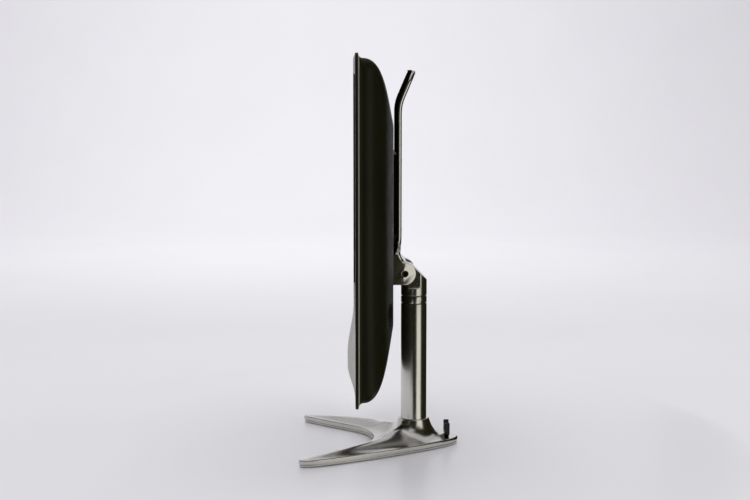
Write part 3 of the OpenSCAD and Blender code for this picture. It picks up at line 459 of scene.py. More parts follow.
def loft(name: str, rings: Sequence[Ring]) -> bpy.types.Object:
    """A closed solid round a hole, for free forms that no primitive is near to.

    Args:
        name: Name of the piece.
        rings: Points of each ring in millimetres, as many in each; the last ring joins the first.

    Returns:
        The solid.
    """
    count = len(rings[0])
    points = [tuple(c * MM for c in p) for ring in rings for p in ring]
    faces = []
    for i in range(len(rings)):
        here, there = i * count, (i + 1) % len(rings) * count
        for k in range(count):
            turn = (k + 1) % count
            faces.append((here + k, here + turn, there + turn, there + k))
    mesh = bpy.data.meshes.new(name)
    mesh.from_pydata(points, [], faces)
    obj = new_object(name, mesh)
    close_up(obj)
    return obj


# Finishes


class Graph:
    """A material's nodes, with Object coordinates to hand."""

    # Limits that most of a noise's values lie between
    NOISE_LIMITS = (0.3, 0.7)

    def __init__(self, name: str) -> None:
        """Starts a material with its principled shader.

        Args:
            name: Name of the material.
        """
        self.material = bpy.data.materials.new(name)
        self.material.use_nodes = True
        self.tree = self.material.node_tree
        self.shader = self.tree.nodes["Principled BSDF"]
        coordinates = self.tree.nodes.new("ShaderNodeTexCoord")
        self.place = coordinates.outputs["Object"]
        self.normal = coordinates.outputs["Normal"]

    def feed(self, socket: bpy.types.NodeSocket, value: Any) -> None:
        """Links an input or gives it a value.

        Args:
            socket: The input.
            value: A socket to link or a plain value.
        """
        if isinstance(value, bpy.types.NodeSocket):
            self.tree.links.new(value, socket)
        else:
            socket.default_value = value

    def add(self, kind: str, inputs: dict[str | int, Any] | None = None, **settings: Any) -> bpy.types.Node:
        """Adds a node.

        Args:
            kind: Node type without its prefix.
            inputs: Values or sockets for its inputs.
            settings: Its own settings.

        Returns:
            The node.
        """
        node = self.tree.nodes.new("ShaderNode" + kind)
        for key, value in settings.items():
            setattr(node, key, value)
        for key, value in (inputs or {}).items():
            self.feed(node.inputs[key], value)
        return node

    def set(self, **values: Any) -> None:
        """Sets or links the shader's inputs, with spaces written as underscores."""
        for key, value in values.items():
            self.feed(self.shader.inputs[key.replace("_", " ")], value)

    def stretched(self, scale: Sequence[float], turn: Sequence[float] = (0, 0, 0)) -> bpy.types.NodeSocket:
        """Object coordinates scaled and turned."""
        node = self.add("Mapping", {"Vector": self.place, "Scale": scale, "Rotation": turn})
        return node.outputs["Vector"]

    def noise(self, scale: float, detail: float = 3.0, vector: bpy.types.NodeSocket | None = None,
              rough: float = 0.55) -> bpy.types.NodeSocket:
        """Noise in Object coordinates.

        Args:
            scale: How fine it is.
            detail: How many finer layers it has.
            vector: Other coordinates to use.
            rough: Strength of the finer layers.

        Returns:
            The noise.
        """
        node = self.add("TexNoise", {"Vector": vector or self.place, "Scale": scale, "Detail": detail,
                                     "Roughness": rough})
        return node.outputs["Fac"]

    def spread(self, value: bpy.types.NodeSocket, low: float, high: float,
               limits: Pair = NOISE_LIMITS) -> bpy.types.NodeSocket:
        """Maps a value from its own limits to others.

        Args:
            value: What is mapped.
            low: Result at the first limit.
            high: Result at the second limit.
            limits: The value's own limits.

        Returns:
            The mapped value.
        """
        node = self.add("MapRange", {"Value": value, "From Min": limits[0], "From Max": limits[1],
                                     "To Min": low, "To Max": high})
        return node.outputs["Result"]

    def tone(self, value: bpy.types.NodeSocket, dark: Colour, light: Colour) -> bpy.types.NodeSocket:
        """Colour between two tones, over a noise's limits.

        Args:
            value: The noise.
            dark: Colour at its lower limit.
            light: Colour at its upper limit.

        Returns:
            The colour.
        """
        node = self.add("ValToRGB", {"Fac": value})
        for element, colour, limit in zip(node.color_ramp.elements, (dark, light), self.NOISE_LIMITS):
            element.position = limit
            element.color = (*colour, 1)
        return node.outputs["Color"]

    def mix(self, factor: bpy.types.NodeSocket, first: Any, second: Any) -> bpy.types.NodeSocket:
        """Colour between two colours or sockets."""
        node = self.add("Mix", {"Factor": factor, "A": first, "B": second}, data_type="RGBA")
        return node.outputs["Result"]

    def bump(self, height: bpy.types.NodeSocket, strength: float, depth: float,
             under: bpy.types.NodeSocket | None = None) -> bpy.types.NodeSocket:
        """Surface relief from a height.

        Args:
            height: The height.
            strength: Strength of the relief.
            depth: Its depth in millimetres.
            under: Relief that it lies on.

        Returns:
            The normal.
        """
        node = self.add("Bump", {"Height": height, "Strength": strength, "Distance": depth * MM})
        if under:
            self.feed(node.inputs["Normal"], under)
        return node.outputs["Normal"]


def shade(colour: Colour, factor: float) -> Colour:
    """A colour made lighter or darker."""
    return tuple(min(c * factor, 1.0) for c in colour)


@dataclass(frozen=True)
class Finish:
    """A finish of one or more pieces.

    Attributes:
        name: Name of its material.
        colour: Its main colour.
    """

    name: str
    colour: Colour

    def tones(self, shades: Pair) -> tuple[Colour, Colour]:
        """The colour in two shades."""
        return shade(self.colour, shades[0]), shade(self.colour, shades[1])

    def material(self) -> bpy.types.Material:
        """The finish as a material, which each kind of finish makes its own way."""
        raise NotImplementedError


@dataclass(frozen=True)
class MouldedPlastic(Finish):
    """Moulded plastic with a fine spark-eroded grain and slight clouding.

    Attributes:
        roughness: Its roughness.
        uneven: How far the roughness varies.
        grain: Size of the grain in millimetres.
        grain_depth: Depth of the grain in millimetres.
        relief: Strength of the grain.
        gloss: Strength of the reflections.
        clouds: How fine the clouds are.
        clouding: Shades of the darkest and the lightest clouds.
        patches: How fine the patches of other roughness are.
        line: Depths in millimetres between which a lighter stripe runs round the piece, a painted highlight
            where the rim's rear edge would catch the light.
        highlight_blur: Width of the painted highlight's soft edges in millimetres.
        highlight_colour: Colour of the painted highlight.
    """

    roughness: float = 0.42
    uneven: float = 0.05
    grain: float = 0.5
    grain_depth: float = 0.04
    relief: float = 0.25
    gloss: float = 0.5
    clouds: float = 9.0
    clouding: Pair = (0.88, 1.14)
    patches: float = 60.0
    line: Pair | None = None
    highlight_blur: float = 0.2
    highlight_colour: Colour = (0.3, 0.3, 0.22)

    def material(self) -> bpy.types.Material:
        """The finish with its grain, its clouds and its painted highlight.

        Returns:
            The material.
        """
        g = Graph(self.name)
        clouds = g.noise(self.clouds, detail=2.0)
        colour = g.tone(clouds, *self.tones(self.clouding))
        # A lighter stripe at the given depths is a painted highlight along the rim's rear edge.
        if self.line:
            colour = self.add_painted_highlight(g, colour)
        patches = g.noise(self.patches, detail=4.0)
        grain = g.noise(1 / (self.grain * MM), detail=2.0)
        g.set(Base_Color=colour,
              Roughness=g.spread(patches, self.roughness - self.uneven, self.roughness + self.uneven),
              Specular_IOR_Level=self.gloss,
              Normal=g.bump(grain, self.relief, self.grain_depth))
        return g.material

    def add_painted_highlight(self, g: Graph, colour: bpy.types.NodeSocket) -> bpy.types.NodeSocket:
        """Adds the painted highlight to the colour.

        Args:
            g: The material's nodes.
            colour: Colour beside the painted highlight.

        Returns:
            The colour with the painted highlight.
        """
        depth = g.add("SeparateXYZ", {"Vector": g.place}).outputs["Y"]
        start, end = (y * MM for y in self.line)
        blur = self.highlight_blur * MM
        inside = g.spread(depth, 0.0, 1.0, (start, start + blur))
        outside = g.spread(depth, 1.0, 0.0, (end - blur, end))
        band = g.add("Math", {0: inside, 1: outside}, operation="MULTIPLY").outputs["Value"]
        return g.mix(band, colour, (*self.highlight_colour, 1))


@dataclass(frozen=True)
class SatinMetal(Finish):
    """Plated metal, bead-blasted to a satin with faint streaks.

    Attributes:
        roughness: Its roughness.
        uneven: How far the roughness varies.
        streak: How fine the streaks are along each axis.
        streak_share: Strength of the streaks as a share of the grain's.
        grain: How fine the grain is.
        grain_depth: Depth of the grain in millimetres.
        relief: Strength of the grain.
        clouds: How fine the clouds are.
        clouding: Shades of the darkest and the lightest clouds.
        painted_dark_front: Whether the faces towards the front are painted black and not metallic, as
            painted shade and dark reflection where they look at the panel's dark back.
        black: Colour of that painted shade.
        front_limits: Parts of the normal along Y between which the painted shade ends.
    """

    roughness: float = 0.3
    uneven: float = 0.035
    streak: tuple[float, float, float] = (300.0, 300.0, 300.0)
    streak_share: float = 0.5
    grain: float = 2600.0
    grain_depth: float = 0.02
    relief: float = 0.04
    clouds: float = 14.0
    clouding: Pair = (0.93, 1.05)
    painted_dark_front: bool = False
    black: Colour = (0.004, 0.004, 0.002)
    front_limits: Pair = (-0.62, -0.5)

    def material(self) -> bpy.types.Material:
        """The finish with its streaks, its grain and its painted dark front.

        Returns:
            The material.
        """
        g = Graph(self.name)
        colour = g.tone(g.noise(self.clouds), *self.tones(self.clouding))
        metal: bpy.types.NodeSocket | float = 1.0
        # Faces towards the front are painted black, as painted shade and dark reflection of the panel's
        # back.
        if self.painted_dark_front:
            facing = g.add("SeparateXYZ", {"Vector": g.normal}).outputs["Y"]
            metal = g.spread(facing, 0.0, 1.0, self.front_limits)
            colour = g.mix(metal, (*self.black, 1), colour)
        streaks = g.noise(1.0, detail=4.0, vector=g.stretched(self.streak))
        streaked = g.bump(streaks, self.relief * self.streak_share, self.grain_depth)
        grain = g.noise(self.grain, detail=2.0)
        g.set(Base_Color=colour,
              Metallic=metal,
              Specular_IOR_Level=0.0 if self.painted_dark_front else 0.5,
              Roughness=g.spread(streaks, self.roughness - self.uneven, self.roughness + self.uneven),
              Normal=g.bump(grain, self.relief, self.grain_depth, streaked))
        return g.material


@dataclass(frozen=True)
class PerforatedPaint(Finish):
    """Painted sheet with a fine square pattern of punched holes.

    Attributes:
        pitch: Distance of the holes in millimetres.
        hole: Radius of a hole as a share of the pitch.
        blur: Width of a hole's soft edge as a share of the pitch.
        hole_shade: How dark the holes are.
        hole_relief: Strength of the holes' relief.
        hole_depth: Depth of the holes in millimetres.
        grain: How fine the paint's grain is.
        grain_relief: Strength of that grain.
        grain_depth: Its depth in millimetres.
        metal: Share of metal flakes.
        patches: How fine the patches of other roughness are.
        roughness: Lowest and highest roughness.
    """

    pitch: float = 1.6
    hole: float = 0.3
    blur: float = 0.04
    hole_shade: float = 0.35
    hole_relief: float = 0.25
    hole_depth: float = 0.2
    grain: float = 1800.0
    grain_relief: float = 0.12
    grain_depth: float = 0.03
    metal: float = 0.15
    patches: float = 40.0
    roughness: Pair = (0.38, 0.48)

    def material(self) -> bpy.types.Material:
        """The finish with its holes and its grain.

        Returns:
            The material.
        """
        g = Graph(self.name)
        rows = 1 / (self.pitch * MM)
        dots = g.add("TexVoronoi", {"Vector": g.stretched((rows, rows, rows), FACE_ON), "Scale": 1.0,
                                    "Randomness": 0.0}, voronoi_dimensions="2D")
        paint = g.spread(dots.outputs["Distance"], 0.0, 1.0, (self.hole - self.blur, self.hole + self.blur))
        grained = g.bump(g.noise(self.grain, detail=2.0), self.grain_relief, self.grain_depth)
        g.set(Base_Color=g.mix(paint, (*shade(self.colour, self.hole_shade), 1), (*self.colour, 1)),
              Metallic=self.metal,
              Roughness=g.spread(g.noise(self.patches), *self.roughness),
              Normal=g.bump(paint, self.hole_relief, self.hole_depth, grained))
        return g.material


@dataclass(frozen=True)
class ScreenGlass(Finish):
    """Dark anti-glare screen with a hint of its cell grid.

    Attributes:
        cells: How fine the columns of cells are.
        cell_shades: Shades between and on the columns.
        patches: How fine the patches of other roughness are.
        roughness: Lowest and highest roughness.
        coat: Strength of the anti-glare coat.
        coat_roughness: Roughness of that coat.
        haze: How fine the coat's grain is.
        haze_relief: Strength of that grain.
        haze_depth: Its depth in millimetres.
    """

    cells: float = 520.0
    cell_shades: Pair = (0.8, 1.3)
    patches: float = 6.0
    roughness: Pair = (0.17, 0.23)
    coat: float = 0.4
    coat_roughness: float = 0.12
    haze: float = 3200.0
    haze_relief: float = 0.08
    haze_depth: float = 0.02

    def material(self) -> bpy.types.Material:
        """The finish with its cells and its coat.

        Returns:
            The material.
        """
        g = Graph(self.name)
        wave = g.add("TexWave", {"Vector": g.place, "Scale": self.cells}, bands_direction="X")
        g.set(Base_Color=g.tone(wave.outputs["Fac"], *self.tones(self.cell_shades)),
              Roughness=g.spread(g.noise(self.patches), *self.roughness),
              Coat_Weight=self.coat,
              Coat_Roughness=self.coat_roughness,
              Normal=g.bump(g.noise(self.haze, detail=2.0), self.haze_relief, self.haze_depth))
        return g.material


@dataclass(frozen=True)
class CircuitBoard(Finish):
    """Laminate with rows of copper tracks under its mask.

    Attributes:
        tracks: How fine the tracks are.
        track_width: Width of a track as a share of its field.
        field_shade: Shade of every second field.
        track_shade: Shade of the tracks.
        patches: How fine the patches of other roughness are.
        roughness: Lowest and highest roughness.
        relief: Strength of the tracks' relief.
        relief_depth: Its depth in millimetres.
    """

    tracks: float = 90.0
    track_width: float = 0.03
    field_shade: float = 0.8
    track_shade: float = 1.9
    patches: float = 200.0
    roughness: Pair = (0.35, 0.5)
    relief: float = 0.2
    relief_depth: float = 0.05

    def material(self) -> bpy.types.Material:
        """The finish with its tracks.

        Returns:
            The material.
        """
        g = Graph(self.name)
        track = g.add("TexBrick", {"Vector": g.stretched((1, 1, 1), FACE_ON), "Scale": self.tracks,
                                   "Mortar Size": self.track_width, "Color1": (*self.colour, 1),
                                   "Color2": (*shade(self.colour, self.field_shade), 1),
                                   "Mortar": (*shade(self.colour, self.track_shade), 1)})
        g.set(Base_Color=track.outputs["Color"],
              Roughness=g.spread(g.noise(self.patches), *self.roughness),
              Normal=g.bump(track.outputs["Fac"], self.relief, self.relief_depth))
        return g.material


@dataclass(frozen=True)
class PaleLamp(Finish):
    """White translucent glass or sheet, slightly mottled.

    Attributes:
        roughness: Its roughness.
        uneven: How far the roughness varies.
        mottle: How fine the mottling is.
        mottle_shade: Shade of the darkest mottling.
        patches: How fine the patches of other roughness are.
        milk: Share of light that scatters inside.
        grain: How fine the grain is.
        grain_relief: Strength of the grain.
        grain_depth: Its depth in millimetres.
    """

    roughness: float = 0.3
    uneven: float = 0.05
    mottle: float = 25.0
    mottle_shade: float = 0.94
    patches: float = 150.0
    milk: float = 0.1
    grain: float = 600.0
    grain_relief: float = 0.05
    grain_depth: float = 0.03

    def material(self) -> bpy.types.Material:
        """The finish with its mottling.

        Returns:
            The material.
        """
        g = Graph(self.name)
        patches = g.noise(self.patches)
        g.set(Base_Color=g.tone(g.noise(self.mottle), shade(self.colour, self.mottle_shade), self.colour),
              Roughness=g.spread(patches, self.roughness - self.uneven, self.roughness + self.uneven),
              Subsurface_Weight=self.milk,
              Normal=g.bump(g.noise(self.grain), self.grain_relief, self.grain_depth))
        return g.material


@dataclass(frozen=True)
class SoftRubber(Finish):
    """Matt rubber or pressed pulp with a dusty grain.

    Attributes:
        grain: How fine the grain is.
        grain_shades: Shades of the darkest and the lightest grain.
        grain_relief: Strength of the grain.
        grain_depth: Its depth in millimetres.
        patches: How fine the patches of other roughness are.
        roughness: Lowest and highest roughness.
        gloss: Strength of the reflections.
    """

    grain: float = 900.0
    grain_shades: Pair = (0.8, 1.3)
    grain_relief: float = 0.3
    grain_depth: float = 0.08
    patches: float = 80.0
    roughness: Pair = (0.7, 0.85)
    gloss: float = 0.3

    def material(self) -> bpy.types.Material:
        """The finish with its grain.

        Returns:
            The material.
        """
        g = Graph(self.name)
        grain = g.noise(self.grain)
        g.set(Base_Color=g.tone(grain, *self.tones(self.grain_shades)),
              Roughness=g.spread(g.noise(self.patches), *self.roughness),
              Specular_IOR_Level=self.gloss,
              Normal=g.bump(grain, self.grain_relief, self.grain_depth))
        return g.material


SHELL = (0.012, 0.0118, 0.0045)
NICKEL = (0.66, 0.648, 0.605)
FINISHES = (
    # The shell's lighter stripe at the rim's rear edge is a painted highlight.
    MouldedPlastic("shell", SHELL, roughness=0.32, gloss=0.09, line=(-30.5, -28.8)),
    PerforatedPaint("grille", (0.45, 0.445, 0.385)),
    MouldedPlastic("window_red", (0.03, 0.003, 0.005), roughness=0.08, relief=0.02),
    PaleLamp("light_pipe", (0.16, 0.5, 0.16), roughness=0.2),
    CircuitBoard("board_green", (0.02, 0.13, 0.045)),
    CircuitBoard("board_tan", (0.3, 0.2, 0.08)),
    ScreenGlass("screen_glass", (0.006, 0.0065, 0.008)),
    PaleLamp("diffuser", (0.85, 0.85, 0.82), roughness=0.5),
    PaleLamp("lamp_glass", (0.9, 0.9, 0.85), roughness=0.15),
    MouldedPlastic("white_plastic", (0.75, 0.75, 0.71), roughness=0.4),
    SatinMetal("sheet_metal", (0.68, 0.69, 0.71), roughness=0.38, streak=(30.0, 900.0, 900.0)),
    SatinMetal("zinc_steel", (0.6, 0.6, 0.61), roughness=0.33),
    SatinMetal("dark_steel", (0.07, 0.07, 0.065), roughness=0.34),
    SatinMetal("brass", (0.72, 0.55, 0.25), roughness=0.28),
    MouldedPlastic("black_plastic", (0.006, 0.006, 0.006), roughness=0.45),
    MouldedPlastic("socket_cream", (0.6, 0.55, 0.34), roughness=0.35),
    SatinMetal("copper_winding", (0.62, 0.42, 0.12), roughness=0.4, streak=(60.0, 60.0, 1600.0),
               relief=0.3),
    SoftRubber("paper_cone", (0.03, 0.03, 0.032), grain=500.0),
    SatinMetal("satin_nickel", NICKEL, roughness=0.22),
    # Its faces towards the panel are painted black as shade and dark reflection.
    SatinMetal("bracket_nickel", NICKEL, roughness=0.22, painted_dark_front=True),
    MouldedPlastic("bush_plastic", (0.02, 0.02, 0.017), roughness=0.5),
    SoftRubber("rubber", (0.015, 0.015, 0.015)),
)


@dataclass
class Wardrobe:
    """The finishes as materials, one for each material slot of the record."""

    materials: dict[str, bpy.types.Material] = field(default_factory=dict)

    def fill(self) -> None:
        """Makes every finish's material."""
        for finish in FINISHES:
            self.materials[finish.name] = finish.material()

    def dress(self, obj: bpy.types.Object, slot: str) -> None:
        """Gives a piece the material of a slot."""
        obj.data.materials.clear()
        obj.data.materials.append(self.materials[slot])

    def dress_nodes(self, frame: dict[str, Any]) -> None:
        """Gives each CAD node the material of its slot."""
        for part in frame["record"]["subparts"]:
            self.dress(frame["nodes"][part["node"]], part["material_slot"])


# Sub-assemblies, with sizes and places in millimetres


@dataclass
class SubAssembly:
    """A group of pieces that ride on one body."""

    frame: dict[str, Any]
    wardrobe: Wardrobe
    body: Body = Body.PANEL

    def build(self) -> None:
        """Builds the group's pieces, which each group does its own way."""
        raise NotImplementedError

    def seat(self, obj: bpy.types.Object, slot: str, *nodes: str, body: str | None = None) -> None:
        """Rides a finished piece on its body, dresses it, hides the CAD nodes that it replaces and logs it.

        Args:
            obj: The piece.
            slot: Material slot of the record.
            nodes: CAD nodes that it replaces.
            body: Name of another body, where it isn't the group's own.
        """
        self.wardrobe.dress(obj, slot)
        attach(obj, body or self.body.value)
        if nodes:
            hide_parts(*nodes)
        LOG.info("%s: %d faces on %s", obj.name, len(obj.data.polygons), body or self.body.value)

    def refine(self, node: str, edge: float, segments: int = 3, limit: float = 35.0,
               body: str | None = None) -> None:
        """Replaces a CAD node by a copy with rounded edges.

        Args:
            node: The CAD node.
            edge: Radius of its edges.
            segments: Steps of the rounding.
            limit: Smallest angle in degrees that counts as an edge.
            body: Body that it rides on, where it isn't the group's own.
        """
        obj = copy_of(node, node + "_finished", self.frame["nodes"])
        soften(obj, edge, segments, limit)
        slot = next(p["material_slot"] for p in self.frame["record"]["subparts"] if p["node"] == node)
        self.seat(obj, slot, node, body=body)


@dataclass
class PanelShell(SubAssembly):
    """Sizes that the panel's front and rear shells share.

    Attributes:
        half: Half the panel's width and height.
        mid: Height of its middle.
        seam: Depth of the seam between the two shells.
        proud: How far the rim stands out from the seam.
        corner_steps: Segments of a corner.
        shading: Largest angle in degrees that is shaded smooth.
    """

    half: Pair = (234.0, 211.0)
    mid: float = 311.0
    seam: float = -25.0
    proud: float = 6.0
    corner_steps: int = 16
    shading: float = 30.0


@dataclass
class FrontFrame(PanelShell):
    """Front bezel with its rim and cove, and the bowed grille.

    Attributes:
        front: Depth of the front face.
        rim_back: Depth of the rim's rear.
        corner: Radius of the rim's corners.
        nose: Rounding of the rim towards the front.
        nose_steps: Steps of that rounding and of the tail's.
        tail: Rounding of the rim's rear, inwards and along.
        cove: Radius of the hollow behind the rim.
        cove_steps: Steps of the hollow.
        over: How far a cutter reaches past a face.
        screen: Width and height of the screen's window.
        screen_mid: Height of the window's middle.
        slope: How far the window's edge slopes.
        slope_corner: Radius of the window's corners.
        slope_steps: Segments of such a corner.
        module: Width and height of the pocket behind the window.
        chin: Lower and upper end of the pocket behind the grille.
        grille: Width and height of the grille.
        grille_low: Height of its lower edge.
        grille_seat: Depth of its seat.
        grid: Columns and rows of the grille's mesh.
        crowding: How much the rows crowd towards the lower edge.
        bow_depth: How far the bow stands forward.
        bow_full: Height on the grille up to which the bow is full.
        bow_round: Height of the bow's lower rounding.
        grille_shading: Largest angle in degrees that is shaded smooth on the grille.
        speaker: Place of a speaker's hole, across and up.
        speaker_radius: Radius of that hole.
        hole_depth: Depth of the holes from the front face.
        signs: Height and radius of the sign window's and the power light's holes.
        sign_x: Their place across.
        sign_sides: Sides of these holes.
    """

    front: float = -34.0
    rim_back: float = -30.0
    corner: float = 12.0
    nose: float = 0.9
    nose_steps: int = 5
    tail: Pair = (0.95, 1.2)
    cove: float = 5.0
    cove_steps: int = 12
    over: float = 1.0
    screen: Pair = (408.0, 306.0)
    screen_mid: float = 345.0
    slope: float = 3.0
    slope_corner: float = 2.0
    slope_steps: int = 3
    module: Pair = (425.0, 323.0)
    chin: Pair = (117.5, 181.0)
    grille: Pair = (396.0, 84.0)
    grille_low: float = 103.0
    grille_seat: float = 1.5
    grid: tuple[int, int] = (132, 48)
    crowding: float = 1.5
    bow_depth: float = 9.2
    bow_full: float = 22.0
    bow_round: float = 6.0
    grille_shading: float = 40.0
    speaker: Pair = (150.0, 149.25)
    speaker_radius: float = 22.0
    hole_depth: float = 6.0
    signs: tuple[Pair, ...] = ((139.5, 4.2), (125.5, 2.2))
    sign_x: float = 206.5
    sign_sides: int = 40

    def build(self) -> None:
        """Builds the bezel and the grille."""
        self.bezel()
        self.bow_grille()

    def rim_rings(self) -> list[Pair]:
        """Rings of the rim, from the front face to the seam.

        Returns:
            How far each ring is drawn in, and its depth.
        """
        rings = []
        for a in quarter(self.nose_steps):
            drawn = self.nose - self.nose * math.sin(a)
            rings.append((drawn, self.front + self.nose - self.nose * math.cos(a)))
        inwards, along = self.tail
        for a in quarter(self.nose_steps):
            rings.append((inwards - inwards * math.cos(a), self.rim_back - along + along * math.sin(a)))
        for a in quarter(self.cove_steps):
            drawn = self.proud - self.cove + self.cove * math.sin(a)
            rings.append((drawn, self.seam - self.cove * math.cos(a)))
        return rings

    def window_tool(self) -> bpy.types.Object:
        """Cutter of the screen's window, with a sloped edge.

        Returns:
            The cutter.
        """
        half = (self.screen[0] / 2 + self.slope, self.screen[1] / 2 + self.slope)
        start = self.front - self.over
        tool = rounded_sheet("window_tool", (2 * half[0], 2 * half[1]), start, self.screen_mid,
                             self.slope_corner, self.slope_steps)
        rings = [(0, start), (self.slope, start + self.slope), (self.slope, self.rim_back + self.over)]
        draw_out(tool, rings, half, self.screen_mid)
        return tool

    def bezel(self) -> None:
        """Rim and cove round the screen's window, with pockets behind."""
        rings = self.rim_rings()
        start = rings[0][0]
        size = (2 * (self.half[0] - start), 2 * (self.half[1] - start))
        obj = rounded_sheet("bezel", size, self.front, self.mid, self.corner - start, self.corner_steps)
        draw_out(obj, rings, self.half, self.mid)
        cut(obj, [self.window_tool()])
        side, tall = self.module[0] / 2, self.module[1] / 2
        for low, high in ((self.screen_mid - tall, self.screen_mid + tall), self.chin):
            cut(obj, [block((-side, self.rim_back, low), (side, self.seam + self.over, high))])
        wide, high = self.grille
        cut(obj, [block((-wide / 2, self.front - self.over, self.grille_low),
                        (wide / 2, self.front + self.grille_seat, self.grille_low + high))])
        x, z = self.speaker
        holes = [bar((s * x, self.front, z), self.speaker_radius, self.hole_depth, Axis.Y) for s in (-1, 1)]
        for z, radius in self.signs:
            holes.append(bar((self.sign_x, self.front - self.over, z), radius, self.hole_depth + self.over,
                             Axis.Y, self.sign_sides))
        cut(obj, holes)
        even_out(obj, self.shading)
        self.seat(obj, "shell", "front_bezel")

    def swell(self, x: float, z: float) -> float:
        """How far the bow stands forward at a place on the grille.

        Args:
            x: Place across, from the middle.
            z: Place up, from the lower edge.

        Returns:
            The distance from the front face.
        """

        def ease(t: float) -> float:
            """Falls smoothly from one to nothing."""
            return (1 + math.cos(math.pi * min(max(t, 0), 1))) / 2

        low = math.sqrt(max(1 - (1 - z / self.bow_round) ** 2, 0)) if z < self.bow_round else 1
        up = ease((z - self.bow_full) / (self.grille[1] - self.bow_full))
        return self.bow_depth * ease(abs(x) / (self.grille[0] / 2)) * low * up

    def bow_grille(self) -> None:
        """Grille that swells forward in the middle."""
        width, height = self.grille
        columns, rows = self.grid
        middle = self.grille_low + height / 2
        clear_selection()
        bpy.ops.mesh.primitive_grid_add(x_subdivisions=columns, y_subdivisions=rows, size=1,
                                        rotation=(QUARTER, 0, 0),
                                        location=(0, self.front * MM, middle * MM))
        bpy.context.object.scale = (width * MM, height * MM, 1)
        obj = settle("bow_grille")
        for vertex in obj.data.vertices:
            share = min(max((vertex.co.z / MM - self.grille_low) / height, 0), 1)
            rise = height * share ** self.crowding
            vertex.co.z = (self.grille_low + rise) * MM
            vertex.co.y = (self.front - self.swell(vertex.co.x / MM, rise)) * MM
        rear = (self.front + self.grille_seat) * MM
        with edit(obj):
            next_ring((0, MM, 0), (1, 0, 1), (0, rear, 0))
        close_up(obj)
        smooth(obj, self.grille_shading)
        self.seat(obj, "grille", "speaker_grille")


